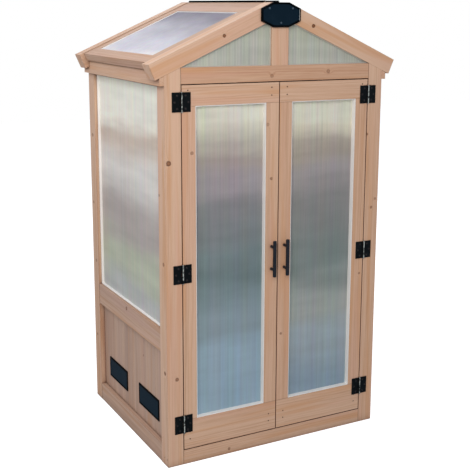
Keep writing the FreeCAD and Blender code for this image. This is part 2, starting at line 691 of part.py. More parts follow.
# Wall vents: a rimmed sleeve through the boards and a flap that hangs in it
vent_frames = []
for name, side in SIDES:
    for place, centre in VENT_PLACES:
        label = "%s_%s_vent" % (name, place)
        rim = block(label + "_rim", ("vent_face_x", "vent_face_x + vent_proud"),
                    around(centre, "vent_half_width + vent_border"),
                    grown(("vent_bottom", "vent_top"), "vent_border"), side)
        sleeve = block(label + "_sleeve", ("vent_face_x - vent_sleeve_depth", "vent_face_x"),
                       around(centre, "vent_half_width + vent_sleeve_wall"),
                       grown(("vent_bottom", "vent_top"), "vent_sleeve_wall"), side)
        opening = block(label + "_opening", ("vent_face_x - 2 * vent_sleeve_depth", "half_width"),
                        around(centre, "vent_half_width"), ("vent_bottom", "vent_top"), side)
        pin_reach = "vent_half_width + flap_pin_length + joint_play"
        bearing_end = "(%s) - (%s)" % (centre, pin_reach)
        bearing = rod(label + "_bearing", ("flap_pivot_x", bearing_end, "flap_pivot_z"),
                      "2 * (%s)" % pin_reach, "flap_pin_radius + hinge_pin_play", "Y", side)
        flap_back = "flap_pivot_x - flap_thickness / 2"
        stop = block(label + "_stop",
                     (flap_back + " - joint_play - flap_stop_depth", flap_back + " - joint_play"),
                     around(centre, "flap_stop_width / 2"),
                     ("vent_bottom", "vent_bottom + flap_stop_depth"), side)
        voids = fuse(label + "_voids", [opening, bearing])
        shell = cut(label + "_shell", fuse(label + "_solid", [rim, sleeve]), [voids])
        vent_frames.append(fuse(label + "_frame", [shell, stop]))
        plate = block(label + "_plate", around("flap_pivot_x", "flap_thickness / 2"),
                      around(centre, "vent_half_width - flap_play"),
                      ("vent_bottom + flap_play", "vent_top - flap_play"), side)
        pin_half = "vent_half_width + flap_pin_length"
        pin_end = "(%s) - (%s)" % (centre, pin_half)
        pin = rod(label + "_pin", ("flap_pivot_x", pin_end, "flap_pivot_z"),
                  "2 * (%s)" % pin_half, "flap_pin_radius", "Y", side)
        keep(fuse("%s_%s_vent_flap" % (name, place), [plate, pin]))
keep(group("vent_frames", vent_frames))

# Eight-sided plate on the front gable, with a raised rim and a bare face
def plate_outline(inward):
    """Outline of the gable plate, drawn in by an amount."""
    side_x = "gable_plate_width / 2 - (%s)" % inward
    flat_x = "gable_plate_width / 2 - gable_plate_corner_width - (%s) / 2" % inward
    upper = "gable_plate_z + gable_plate_height / 2 - (%s)" % inward
    lower = "gable_plate_z - gable_plate_height / 2 + (%s)" % inward
    upper_side = "gable_plate_z + gable_plate_height / 2 - gable_plate_corner_height - (%s) / 2" % inward
    lower_side = "gable_plate_z - gable_plate_height / 2 + gable_plate_corner_height + (%s) / 2" % inward
    return [
        (flat_x, lower),
        (side_x, lower_side),
        (side_x, upper_side),
        (flat_x, upper),
        ("-(%s)" % flat_x, upper),
        ("-(%s)" % side_x, upper_side),
        ("-(%s)" % side_x, lower_side),
        ("-(%s)" % flat_x, lower),
    ]


PLATE_SCREWS = [
    ("-gable_screw_side", "gable_plate_z + gable_screw_up"),
    ("gable_screw_side", "gable_plate_z + gable_screw_up"),
    ("0", "gable_plate_z - gable_screw_down"),
]
plate_face_y = "front_y - gable_plate_thickness + gable_plate_rim_height"
plate_blank = slab("gable_plate_blank", plate_outline("0"), ("front_y - gable_plate_thickness", "front_y"))
plate_dish = slab("gable_plate_dish", plate_outline("gable_plate_rim"),
                  ("front_y - 2 * gable_plate_thickness", plate_face_y))


def screw(name, x, face_y, z, length, side=1):
    """A countersunk screw driven along +Y from a face."""
    head = cone(name + "_head", (x, face_y, z), "hinge_leaf",
                "screw_head_radius", "screw_shank_radius", "Y", side)
    shank = rod(name + "_shank", (x, "(%s) + hinge_leaf" % face_y, z), "(%s) - hinge_leaf" % length,
                "screw_shank_radius", "Y", side)
    return fuse(name, [head, shank])


def screw_hole(name, x, face_y, z, depth, side=1):
    """The countersunk hole that such a screw fills, through a plate of a given depth."""
    head = cone(name + "_sink", (x, face_y, z), "hinge_leaf",
                "screw_head_radius", "screw_shank_radius", "Y", side)
    through = rod(name + "_bore", (x, face_y, z), depth, "screw_shank_radius", "Y", side)
    return fuse(name, [head, through])


plate_holes = [
    screw_hole("gable_plate_hole_%d" % index, x, plate_face_y, z, "gable_plate_thickness")
    for index, (x, z) in enumerate(PLATE_SCREWS)
]
keep(cut("gable_plate", plate_blank, [plate_dish] + plate_holes))
frame_fasteners = [
    screw("gable_plate_screw_%d" % index, x, plate_face_y, z, "screw_length")
    for index, (x, z) in enumerate(PLATE_SCREWS)
]

# Door hinges: leaves screwed flat on the faces, three knuckles each round a headed pin
HINGE_HEIGHTS = (("top", "hinge_top_z"), ("middle", "hinge_middle_z"), ("bottom", "hinge_bottom_z"))


def hinge_screw_places(outward, centre):
    """The three screws of a leaf, the middle one further from the hinge axis."""
    return [
        ("hinge_x + (%d) * screw_near" % outward, "%s - screw_pitch" % centre),
        ("hinge_x + (%d) * screw_far" % outward, centre),
        ("hinge_x + (%d) * screw_near" % outward, "%s + screw_pitch" % centre),
    ]


def hinge_leaf(label, outward, centre, knuckles, bore, side):
    """One leaf with its knuckles; outward is 1 on the post and -1 on the door."""
    clear = "hinge_barrel_radius + knuckle_gap"
    far = ("hinge_x + (%s)" % clear, "hinge_x + hinge_reach")
    if outward < 0:
        far = ("hinge_x - hinge_reach", "hinge_x - (%s)" % clear)
    leaf_y = ("front_y - hinge_leaf", "front_y")
    parts = [block(label + "_sheet", far, leaf_y, around(centre, "hinge_height / 2"), side)]
    for index, (low, high) in enumerate(knuckles):
        web = ("hinge_x", far[0]) if outward > 0 else (far[1], "hinge_x")
        parts.append(block("%s_web_%d" % (label, index), web, leaf_y, (low, high), side))
        parts.append(rod("%s_knuckle_%d" % (label, index), ("hinge_x", "hinge_y", low),
                         "(%s) - (%s)" % (high, low), "hinge_barrel_radius", "Z", side))
    bore_rod = rod(label + "_pin_bore", ("hinge_x", "hinge_y", "%s - hinge_height" % centre),
                   "2 * hinge_height", bore, "Z", side)
    holes = [
        screw_hole("%s_hole_%d" % (label, index), x, "front_y - hinge_leaf", z, "2 * hinge_leaf", side)
        for index, (x, z) in enumerate(hinge_screw_places(outward, centre))
    ]
    return cut(label, fuse(label + "_blank", parts), [bore_rod] + holes)


post_leaves = []
door_leaves = {"left": [], "right": []}
door_fasteners = {"left": [], "right": []}
hinge_pins = []
for name, side in SIDES:
    for place, centre in HINGE_HEIGHTS:
        sixth = "hinge_height / 6"
        outer_knuckles = [
            ("%s - hinge_height / 2" % centre, "%s - %s - knuckle_gap / 2" % (centre, sixth)),
            ("%s + %s + knuckle_gap / 2" % (centre, sixth), "%s + hinge_height / 2" % centre),
        ]
        inner_knuckles = [around(centre, "hinge_height / 6 - knuckle_gap / 2")]
        label = "%s_%s_hinge" % (name, place)
        post_leaves.append(hinge_leaf(label + "_post_leaf", 1, centre, outer_knuckles,
                                      "hinge_pin_radius", side))
        door_leaves[name].append(hinge_leaf(label + "_door_leaf", -1, centre, inner_knuckles,
                                            "hinge_pin_radius + hinge_pin_play", side))
        for index, (x, z) in enumerate(hinge_screw_places(1, centre)):
            frame_fasteners.append(screw("%s_post_screw_%d" % (label, index), x,
                                         "front_y - hinge_leaf", z, "screw_length", side))
        for index, (x, z) in enumerate(hinge_screw_places(-1, centre)):
            door_fasteners[name].append(screw("%s_door_screw_%d" % (label, index), x,
                                              "front_y - hinge_leaf", z, "screw_length", side))
        stem = rod(label + "_pin_stem", ("hinge_x", "hinge_y", "%s - hinge_height / 2" % centre),
                   "hinge_height", "hinge_pin_radius", "Z", side)
        low_head_z = "%s - hinge_height / 2 - hinge_head_height" % centre
        high_head_z = "%s + hinge_height / 2" % centre
        heads = [
            rod(label + "_pin_head_low", ("hinge_x", "hinge_y", low_head_z),
                "hinge_head_height", "hinge_head_radius", "Z", side),
            rod(label + "_pin_head_high", ("hinge_x", "hinge_y", high_head_z),
                "hinge_head_height", "hinge_head_radius", "Z", side),
        ]
        hinge_pins.append(fuse(label + "_pin", [stem] + heads))
keep(group("post_hinge_leaves", post_leaves))


def nail(name, x, z, side=1):
    """A nail driven along +Y, its head flush with the timber face."""
    return rod(name, (x, "front_y", z), "nail_length", "nail_radius", "Y", side)


# Two doors: rails across the full width, stiles between them, a pane in their grooves
for name, side in SIDES:
    label = name + "_door"
    door_x = ("door_inner_x", "door_outer_x")
    door_y = ("front_y", "door_back_y")
    pane_x = ("door_pane_left", "door_pane_right")
    pane_z = ("door_pane_bottom", "door_pane_top")
    pane_y = ("front_y + door_pane_recess", "front_y + door_pane_recess + pane_thickness")
    pane_slot = block(label + "_slot", grown(pane_x, "groove_depth + pane_play"),
                      grown(pane_y, "pane_play"), grown(pane_z, "groove_depth + pane_play"), side)
    rails = [
        block(label + "_top_rail", door_x, door_y, ("door_pane_top", "door_top"), side),
        block(label + "_bottom_rail", door_x, door_y, ("door_bottom", "door_pane_bottom"), side),
    ]
    keep(cut(label + "_rails", group(label + "_rails_blank", rails), [pane_slot]))
    feet = ("handle_height - handle_centres / 2", "handle_height + handle_centres / 2")
    screw_ways = [
        rod("%s_handle_way_%d" % (label, index), ("handle_x", "front_y", z), "door_thickness",
            "handle_screw_radius + handle_screw_play", "Y", side)
        for index, z in enumerate(feet)
    ]
    stiles = [
        block(label + "_hinge_stile", ("door_pane_right", "door_outer_x"), door_y, pane_z, side),
        block(label + "_meeting_stile", ("door_inner_x", "door_pane_left"), door_y, pane_z, side),
    ]
    keep(cut(label + "_stiles", group(label + "_stiles_blank", stiles), [pane_slot] + screw_ways))
    keep(block(label + "_pane", grown(pane_x, "groove_depth"), pane_y, grown(pane_z, "groove_depth"), side))
    lining_y = ("front_y + door_edging_lip", "front_y + door_pane_recess")
    keep(ring(label + "_pane_edging", pane_x, lining_y, pane_z, "y", side))
    keep(group(label + "_hinge_leaves", door_leaves[name]))

    # Bar handle on two feet, held by screws from behind
    bar_y = "front_y - handle_standoff"
    bar_foot = "handle_height - handle_length / 2"
    bar_head = "handle_height + handle_length / 2 - handle_end_bevel"
    slim = "handle_bar_radius - handle_end_bevel"
    bar = [
        cone(label + "_handle_low_end", ("handle_x", bar_y, bar_foot), "handle_end_bevel",
             slim, "handle_bar_radius", "Z", side),
        rod(label + "_handle_bar", ("handle_x", bar_y, bar_foot + " + handle_end_bevel"),
            "handle_length - 2 * handle_end_bevel", "handle_bar_radius", "Z", side),
        cone(label + "_handle_high_end", ("handle_x", bar_y, bar_head), "handle_end_bevel",
             "handle_bar_radius", slim, "Z", side),
    ]
    handle_feet = [
        rod("%s_handle_foot_%d" % (label, index), ("handle_x", bar_y, z), "handle_standoff",
            "handle_foot_radius", "Y", side)
        for index, z in enumerate(feet)
    ]
    threads = [
        rod("%s_handle_thread_%d" % (label, index), ("handle_x", "front_y - handle_screw_grip", z),
            "2 * handle_screw_grip", "handle_screw_radius", "Y", side)
        for index, z in enumerate(feet)
    ]
    keep(cut(label + "_handle", fuse(label + "_handle_blank", bar + handle_feet), threads))
    for index, z in enumerate(feet):
        shank = rod("%s_handle_screw_shank_%d" % (label, index),
                    ("handle_x", "front_y - handle_screw_grip", z),
                    "handle_screw_grip + door_thickness", "handle_screw_radius", "Y", side)
        head = rod("%s_handle_screw_head_%d" % (label, index), ("handle_x", "door_back_y", z),
                   "handle_screw_head_height", "handle_screw_head", "Y", side)
        door_fasteners[name].append(fuse("%s_handle_screw_%d" % (label, index), [shank, head]))

    # Nails at the four corners, in pairs
    corner_x = (("inner", "door_inner_x + nail_inner"), ("outer", "door_outer_x - nail_outer"))
    corner_z = (("top", "door_top - nail_drop"), ("bottom", "door_bottom + nail_rise"))
    for corner, x in corner_x:
        for level, z in corner_z:
            for step in (-1, 1):
                door_fasteners[name].append(nail("%s_%s_%s_nail_%d" % (label, level, corner, step + 1), x,
                                              "%s + (%d) * nail_spacing / 2" % (z, step), side))
    keep(group(label + "_fasteners", door_fasteners[name]))

    # Steel plate behind the top corner, which the magnetic catch holds
    strike_z = "header_bottom - catch_drop / 2"
    keep(block(label + "_strike", around("handle_x", "catch_width / 2 - catch_margin"),
               ("door_back_y", "door_back_y + strike_thickness"),
               around(strike_z, "strike_height / 2"), side))

# Magnetic catches behind the header
catches = []
for name, side in SIDES:
    case_y = ("front_y + rail_thickness", "front_y + rail_thickness + catch_depth")
    case = block(name + "_catch_case", around("handle_x", "catch_width / 2"), case_y,
                 ("header_bottom - catch_drop", "header_bottom + catch_rise"), side)
    pole = block(name + "_catch_pole", around("handle_x", "catch_width / 2 - catch_margin"),
                 ("door_back_y + strike_thickness + joint_play", "front_y + rail_thickness"),
                 ("header_bottom - catch_drop + catch_margin", "header_bottom - catch_margin"), side)
    catches.append(fuse(name + "_catch", [case, pole]))
keep(group("door_catches", catches))

# Ridge board between the rafters, with a black strip on top
BETWEEN_RAFTERS_Y = ("front_y + rafter_thickness", "rear_y - rafter_thickness")
keep(block("ridge_board", ("-ridge_half", "ridge_half"), BETWEEN_RAFTERS_Y,
           ("ridge_board_top - ridge_board_height", "ridge_board_top")))
keep(block("ridge_strip", around("0", "ridge_half - ridge_strip_inset"), BETWEEN_RAFTERS_Y,
           ("ridge_board_top", "flat_z")))

# Roof panels: four rails round a pane, hinged at the ridge board
KNUCKLE_COUNT = int(sizes.roof_knuckle_count)


def ridge_leaf(label, sheet_x, own, bore, side):
    """One leaf of a long ridge hinge, with every second knuckle along it."""
    along_y = ("panel_front_y", "panel_rear_y")
    leaf_z = ("ridge_leaf_top - roof_leaf_height", "ridge_leaf_top")
    parts = [block(label + "_sheet", sheet_x, along_y, leaf_z, side)]
    for index in range(own, KNUCKLE_COUNT, 2):
        low = "panel_front_y + %d * ridge_knuckle + knuckle_gap / 2" % index
        high = "panel_front_y + %d * ridge_knuckle - knuckle_gap / 2" % (index + 1)
        parts.append(block("%s_web_%d" % (label, index), sheet_x, (low, high),
                           ("ridge_leaf_top", "ridge_hinge_z"), side))
        parts.append(rod("%s_knuckle_%d" % (label, index), ("ridge_hinge_x", low, "ridge_hinge_z"),
                         "(%s) - (%s)" % (high, low), "roof_barrel_radius", "Y", side))
    bore_rod = rod(label + "_pin_bore", ("ridge_hinge_x", "panel_front_y", "ridge_hinge_z"),
                   "panel_rear_y - panel_front_y", bore, "Y", side)
    return cut(label, fuse(label + "_blank", parts), [bore_rod])


ridge_leaves = []
for name, side in SIDES:
    label = name + "_roof"
    panel_y = ("panel_front_y", "panel_rear_y")
    opening_y = grown(panel_y, "-panel_side_rail")
    face = "panel_drop"
    back = "panel_drop + panel_thickness"
    eave_rail = slab(label + "_eave_rail",
                     slope_outline("panel_setback", "panel_open_start", face, back), panel_y, side)
    ridge_rail = slab(label + "_ridge_rail", [
        slope_point("panel_open_end", face),
        slope_point("panel_open_end", back),
        ("panel_end_x", "panel_under_apex - panel_end_x * pitch_tangent"),
        ("panel_end_x", "panel_over_apex - panel_end_x * pitch_tangent"),
    ], panel_y, side)
    rail_outline = slope_outline("panel_open_start", "panel_open_end", face, back)
    side_rails = [
        slab(label + "_front_rail", rail_outline,
             ("panel_front_y", "panel_front_y + panel_side_rail"), side),
        slab(label + "_rear_rail", rail_outline,
             ("panel_rear_y - panel_side_rail", "panel_rear_y"), side),
    ]
    pane_top = "panel_drop + roof_pane_recess"
    pane_bottom = "panel_drop + roof_pane_recess + pane_thickness"
    slot = slab(label + "_slot", slope_outline("panel_open_start - groove_depth - pane_play",
                                              "panel_open_end + groove_depth + pane_play",
                                              pane_top + " - pane_play", pane_bottom + " + pane_play"),
                grown(opening_y, "groove_depth + pane_play"), side)
    keep(cut(label + "_frame", group(label + "_frame_blank", [eave_rail, ridge_rail] + side_rails), [slot]))
    pane_outline = slope_outline("panel_open_start - groove_depth", "panel_open_end + groove_depth",
                                 pane_top, pane_bottom)
    keep(slab(label + "_pane", pane_outline, grown(opening_y, "groove_depth"), side))
    lining_top = "panel_drop + roof_edging_lip"
    lining = slab(label + "_edging_outside",
                  slope_outline("panel_open_start", "panel_open_end", lining_top, pane_top),
                  opening_y, side)
    hollow = slab(label + "_edging_inside", slope_outline("panel_open_start + edging_thickness",
                                                         "panel_open_end - edging_thickness",
                                                         "0", pane_top + " + edging_thickness"),
                  grown(opening_y, "-edging_thickness"), side)
    keep(cut(label + "_pane_edging", lining, [hollow]))
    keep(ridge_leaf(label + "_hinge_leaf", ("panel_end_x - roof_leaf", "panel_end_x"), 1,
                    "roof_pin_radius + hinge_pin_play", side))
    ridge_leaves.append(ridge_leaf(name + "_ridge_leaf", ("ridge_half", "ridge_half + roof_leaf"), 0,
                                   "roof_pin_radius", side))
    hinge_pins.append(rod(label + "_pin", ("ridge_hinge_x", "panel_front_y", "ridge_hinge_z"),
                          "panel_rear_y - panel_front_y", "roof_pin_radius", "Y", side))
keep(group("ridge_hinge_leaves", ridge_leaves))
keep(group("hinge_pins", hinge_pins))

# Nails through the sides of the front posts into the ends of sill and header
for name, side in SIDES:
    for level, z in (("foot", "sill_height / 2"), ("head", "header_bottom + header_height / 2")):
        for step in (-1, 1):
            place_y = "front_y + rail_thickness / 2 + (%d) * rail_thickness / 4" % step
            frame_fasteners.append(rod("%s_post_%s_nail_%d" % (name, level, step + 1),
                                       ("half_width - frame_nail_length", place_y, z),
                                       "frame_nail_length", "nail_radius", "X", side))
keep(group("frame_fasteners", frame_fasteners))

# Three slatted shelves on cleats between the posts
SHELVES = (("upper", "upper_shelf_top"), ("middle", "middle_shelf_top"), ("lower", "lower_shelf_top"))
SLAT_COUNT = int(sizes.slat_count)
cleats = []
for level, top_z in SHELVES:
    slat_z = ("%s - slat_thickness" % top_z, top_z)
    slat_x = ("-inner_x + slat_end_play", "inner_x - slat_end_play")
    pieces = []
    for index in range(SLAT_COUNT):
        low = "front_inner_y + %d * (slat_width + slat_gap)" % index
        pieces.append(block("%s_slat_%d" % (level, index), slat_x, (low, "%s + slat_width" % low), slat_z))
    under_z = ("%s - slat_thickness - shelf_batten_height" % top_z, "%s - slat_thickness" % top_z)
    cleat_z = ("%s - slat_thickness - cleat_height" % top_z, "%s - slat_thickness" % top_z)
    for name, side in SIDES:
        pieces.append(block("%s_%s_shelf_batten" % (level, name),
                            around("shelf_batten_place", "shelf_batten_width / 2"),
                            BETWEEN_POSTS_Y, under_z, side))
        cleats.append(block("%s_%s_cleat" % (level, name), ("inner_x - cleat_thickness", "inner_x"),
                            ("front_y + rail_thickness", "rear_y - rail_inset - rail_thickness"),
                            cleat_z, side))
    keep(group(level + "_shelf", pieces))
keep(group("shelf_cleats", cleats))

document.recompute()

# Every object must be sound before anything is written
faults = [item.Name for item in document.Objects if "Invalid" in item.State or "Error" in item.State]
for piece in nodes:
    if piece.Shape.isNull() or not piece.Shape.isValid() or not piece.Shape.Solids:
        faults.append(piece.Label)
if faults:
    raise RuntimeError("failed objects: " + ", ".join(faults))

os.makedirs("parts", exist_ok=True)
for piece in nodes:
    piece.Shape.exportStep("parts/%s.step" % piece.Label)
    print(piece.Label, len(piece.Shape.Solids), "solids", round(piece.Shape.Volume / 1000, 1), "cm3")
print(len(nodes), "nodes")
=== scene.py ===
# %% [markdown]
# # A wooden mini greenhouse
# This lesson dresses a finished CAD model: a fir cabinet with a gabled roof, two glazed doors,
# translucent twin-wall panes and black steel fittings. The shapes come from the CAD file, so
# most of the work here is light, camera and materials. Small things that a CAD model leaves
# plain, such as the drives of the screws, are built as meshes of their own.

import math
import random

import bmesh
import bpy
from mathutils import Matrix, Vector


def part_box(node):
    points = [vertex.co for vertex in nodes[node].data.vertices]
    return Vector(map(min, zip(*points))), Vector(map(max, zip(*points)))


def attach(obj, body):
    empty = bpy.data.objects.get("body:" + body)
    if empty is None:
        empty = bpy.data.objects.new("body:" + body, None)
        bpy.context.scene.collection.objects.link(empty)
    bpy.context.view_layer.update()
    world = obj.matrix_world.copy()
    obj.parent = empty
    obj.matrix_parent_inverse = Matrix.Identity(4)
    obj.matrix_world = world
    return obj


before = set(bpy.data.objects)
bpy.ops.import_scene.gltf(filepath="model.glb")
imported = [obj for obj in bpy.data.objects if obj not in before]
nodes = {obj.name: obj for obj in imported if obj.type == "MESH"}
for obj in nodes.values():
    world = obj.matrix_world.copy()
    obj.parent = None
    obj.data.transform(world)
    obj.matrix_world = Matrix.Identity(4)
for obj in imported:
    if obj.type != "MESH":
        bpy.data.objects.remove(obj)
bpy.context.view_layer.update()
MM = 0.001

# %% [markdown]
# ## The camera
# The greenhouse is seen from its front left corner, a little from above. A camera could be
# placed by eye with a Track To constraint, but this one was solved from the corners of the
# cabinet: a heading, a tilt, a slight roll, a focal length and a small shift. Blender's camera
# looks along its own -Z, so the three angles are turned into a rotation matrix by hand.

# %% Camera
# sensor in millimetres, angles in degrees, the rest in pixels of a square picture
SENSOR = 36.0
HEADING, TILT, ROLL = (math.radians(a) for a in (29.4315, -11.3256, 0.5495))
IMAGE_SIZE = 470
FOCAL_PIXELS = 941.2
CENTRE_X, CENTRE_Y = 265.28, 196.94
CAMERA_PLACE = (-1.5207, -2.9357, 1.4661)


def viewing_rotation(heading, tilt, roll):
    """Rotation of a camera that looks along +Y, turned right by heading and up by tilt."""
    look = Vector((math.sin(heading) * math.cos(tilt), math.cos(heading) * math.cos(tilt),
                   math.sin(tilt)))
    right = look.cross(Vector((0, 0, 1))).normalized()
    up = right.cross(look)
    rolled_right = right * math.cos(roll) + up * math.sin(roll)
    rolled_up = up * math.cos(roll) - right * math.sin(roll)
    return Matrix((rolled_right, rolled_up, -look)).transposed()


camera_data = bpy.data.cameras.new("camera")
camera_data.sensor_width = SENSOR
camera_data.lens = FOCAL_PIXELS / IMAGE_SIZE * SENSOR
camera_data.shift_x = (IMAGE_SIZE / 2 - CENTRE_X) / IMAGE_SIZE
camera_data.shift_y = (CENTRE_Y - IMAGE_SIZE / 2) / IMAGE_SIZE
camera = bpy.data.objects.new("camera", camera_data)
bpy.context.scene.collection.objects.link(camera)
camera.matrix_world = (Matrix.Translation(CAMERA_PLACE)
                       @ viewing_rotation(HEADING, TILT, ROLL).to_4x4())
bpy.context.scene.camera = camera
bpy.context.scene.view_settings.view_transform = "Standard"
print("lens %.1f mm, shift %.3f %.3f" % (camera_data.lens, camera_data.shift_x, camera_data.shift_y))

# %% [markdown]
# ## Building materials from nodes
# Every surface is worked out from its place on the object, never from an image. A few small
# helpers keep the node trees readable: `add` makes a node and plugs in its inputs, `calc` adds
# one step of arithmetic, and the others are built on these two. A value that is the same all
# over is set on the shader's own socket.

# %% Colours, nodes and arithmetic


def srgb(red, green, blue):
    """A colour written as it looks on screen (0 to 255), turned into linear light."""
    return tuple((v / 255 / 12.92) if v / 255 <= 0.04045 else ((v / 255 + 0.055) / 1.055) ** 2.4
                 for v in (red, green, blue)) + (1.0,)


def add(tree, kind, inputs=None, **settings):
    """Adds a node, applies its settings, and links or sets its inputs."""
    node = tree.nodes.new(kind)
    for name, value in settings.items():
        setattr(node, name, value)
    for key, value in (inputs or {}).items():
        if isinstance(value, bpy.types.NodeSocket):
            tree.links.new(value, node.inputs[key])
        else:
            node.inputs[key].default_value = value
    return node


def calc(tree, operation, *values):
    """One step of arithmetic on numbers or sockets."""
    return add(tree, "ShaderNodeMath", dict(enumerate(values)), operation=operation).outputs[0]


def split(tree, vector):
    """The three numbers of a vector, as sockets."""
    return tuple(add(tree, "ShaderNodeSeparateXYZ", {0: vector}).outputs)


def stretch(tree, vector, factors):
    """A vector with each of its numbers multiplied by a factor of its own."""
    return add(tree, "ShaderNodeVectorMath", {0: vector, 1: factors}, operation="MULTIPLY").outputs[0]


def step_up(tree, value, low, high, to_low=0.0, to_high=1.0):
    """A soft step: to_low where value is below low, to_high above high."""
    node = add(tree, "ShaderNodeMapRange", {"Value": value, "From Min": low, "From Max": high,
                                            "To Min": to_low, "To Max": to_high},
               interpolation_type="SMOOTHSTEP")
    return node.outputs["Result"]


def mix_colour(tree, factor, first, second, blend="MIX"):
    """Blends two colours, each a socket or a fixed colour."""
    node = add(tree, "ShaderNodeMix", data_type="RGBA", blend_type=blend)
    # a mix node has sockets for numbers, vectors and colours: those of the colours are 6, 7 and 2
    for socket, value in ((node.inputs[0], factor), (node.inputs[6], first), (node.inputs[7], second)):
        if isinstance(value, bpy.types.NodeSocket):
            tree.links.new(value, socket)
        else:
            socket.default_value = value
    return node.outputs[2]


# %% [markdown]
# Noise, a material to start from, and three effects that the finishes use: arrises shaded as if
# they were slightly rounded, deep corners found with ambient occlusion for painted shade, and
# fine relief.

# %% Noise, shader and edges


def mottle(tree, vector, scale, detail=3.0, roughness=0.5):
    """Soft random blotches between 0 and 1."""
    node = add(tree, "ShaderNodeTexNoise", {"Vector": vector, "Scale": scale, "Detail": detail,
                                            "Roughness": roughness})
    return node.outputs["Fac"]


def own_value(tree, number):
    """A random value between 0 and 1 that always belongs to the same number."""
    return add(tree, "ShaderNodeTexWhiteNoise", {"W": number}, noise_dimensions="1D").outputs["Value"]


def new_material(name):
    """A material with its tree, its shader and the place on the object in metres."""
    material = bpy.data.materials.new(name)
    material.use_nodes = True
    tree = material.node_tree
    place = add(tree, "ShaderNodeTexCoord").outputs["Object"]
    return material, tree, tree.nodes["Principled BSDF"], place


def set_shader(tree, shader, **values):
    """Sets or links sockets of the shader; base_color stands for Base Color and so on."""
    for name, value in values.items():
        socket = shader.inputs[name.replace("_", " ").title().replace("Ior", "IOR")]
        if isinstance(value, bpy.types.NodeSocket):
            tree.links.new(value, socket)
        else:
            socket.default_value = value


def eased_edges(tree, radius):
    """Rounds the shading at sharp arrises; returns the normal and how near an arris is (0 to 1)."""
    soft = add(tree, "ShaderNodeBevel", {"Radius": radius}, samples=4).outputs[0]
    true = add(tree, "ShaderNodeNewGeometry").outputs["True Normal"]
    match = add(tree, "ShaderNodeVectorMath", {0: soft, 1: true}, operation="DOT_PRODUCT").outputs["Value"]
    return soft, step_up(tree, match, 0.995, 0.8)


def shade_in_crevice(tree, reach, clear=0.85, deep=0.10):
    """How much painted shade a place in a gap or corner gets: 0 in the open, 1 between faces closer than
    reach.
    """
    open_sky = add(tree, "ShaderNodeAmbientOcclusion", {"Distance": reach}, samples=6).outputs["AO"]
    return step_up(tree, open_sky, clear, deep)


def relief(tree, height, depth, normal):
    """Bump of the given depth in metres on top of a normal."""
    return add(tree, "ShaderNodeBump", {"Height": height, "Distance": depth, "Normal": normal}).outputs[0]


# %% [markdown]
# ## Fir wood
# The frame is planed fir, oiled to a warm tan. Wood is built of growth rings round the heart
# of the trunk, and a board is a cut through them, so the shader does the same: it measures the
# distance from a heart line that lies outside the piece, bends it with noise, and repeats it
# every few millimetres. Faces then show long grain and sawn ends show arcs, and they meet at
# the edges. Fine fibres, slow changes of tone and knots come on top. A photo of wood would be
# quicker, but it would not run through from face to face.
#
# First the shader has to know which way the grain runs. That is easy for posts and rails. In
# the roof the timbers follow the slope, so the place is turned by the pitch of the roof first.

# %% Grain directions
PITCH = math.radians(24)
ROOF_TIP = Vector((0.449, 1.299))
# left and right half of the roof take their grain from two places of the log
HALF_SHIFT = 0.613
# up the slope of a roof panel: where the rail at the tip ends and the one at the ridge starts
TIP_RAIL_END, RIDGE_RAIL_START = 0.062, 0.386


def lengthwise(tree, place, along):
    """Splits a place into two directions across the grain and one along it."""
    x, y, z = split(tree, place)
    if along == "X":
        return y, z, x
    if along == "Y":
        return x, z, y
    if along == "Z":
        return x, y, z
    # in the slope of the roof, mirrored left and right: along it, square to it, and front to rear
    side = calc(tree, "SIGN", x)
    out = calc(tree, "ABSOLUTE", x)
    down = calc(tree, "SUBTRACT", calc(tree, "MULTIPLY", out, math.cos(PITCH)),
                calc(tree, "MULTIPLY", z, math.sin(PITCH)))
    over = calc(tree, "ADD", calc(tree, "MULTIPLY", out, math.sin(PITCH)),
                calc(tree, "MULTIPLY", z, math.cos(PITCH)))
    front = calc(tree, "ADD", y, calc(tree, "MULTIPLY", side, HALF_SHIFT))
    if along == "slope":
        return over, front, down
    # the rails of a roof panel: those at the tip and at the ridge run front to rear
    tip = ROOF_TIP.x * math.cos(PITCH) - ROOF_TIP.y * math.sin(PITCH)
    climb = calc(tree, "SUBTRACT", tip, down)
    cross_rail = calc(tree, "MAXIMUM", calc(tree, "LESS_THAN", climb, TIP_RAIL_END),
                      calc(tree, "GREATER_THAN", climb, RIDGE_RAIL_START))
    pieces = []
    for in_side_rail, in_cross_rail in ((over, over), (front, down), (down, front)):
        pieces.append(add(tree, "ShaderNodeMix", {0: cross_rail, 2: in_side_rail, 3: in_cross_rail},
                          data_type="FLOAT").outputs[0])
    return pieces


# %% [markdown]
# A knot is where a branch left the trunk: a round plug that runs through the board, brown with
# a darker rim, and the grain swells round it. It is given by the face that shows it, its place
# on that face in millimetres, its radius and how dark it is. Noise bends its outline.

# %% Knots
FACE_MASK = {"front": (1, 0, 1), "side": (0, 1, 1)}


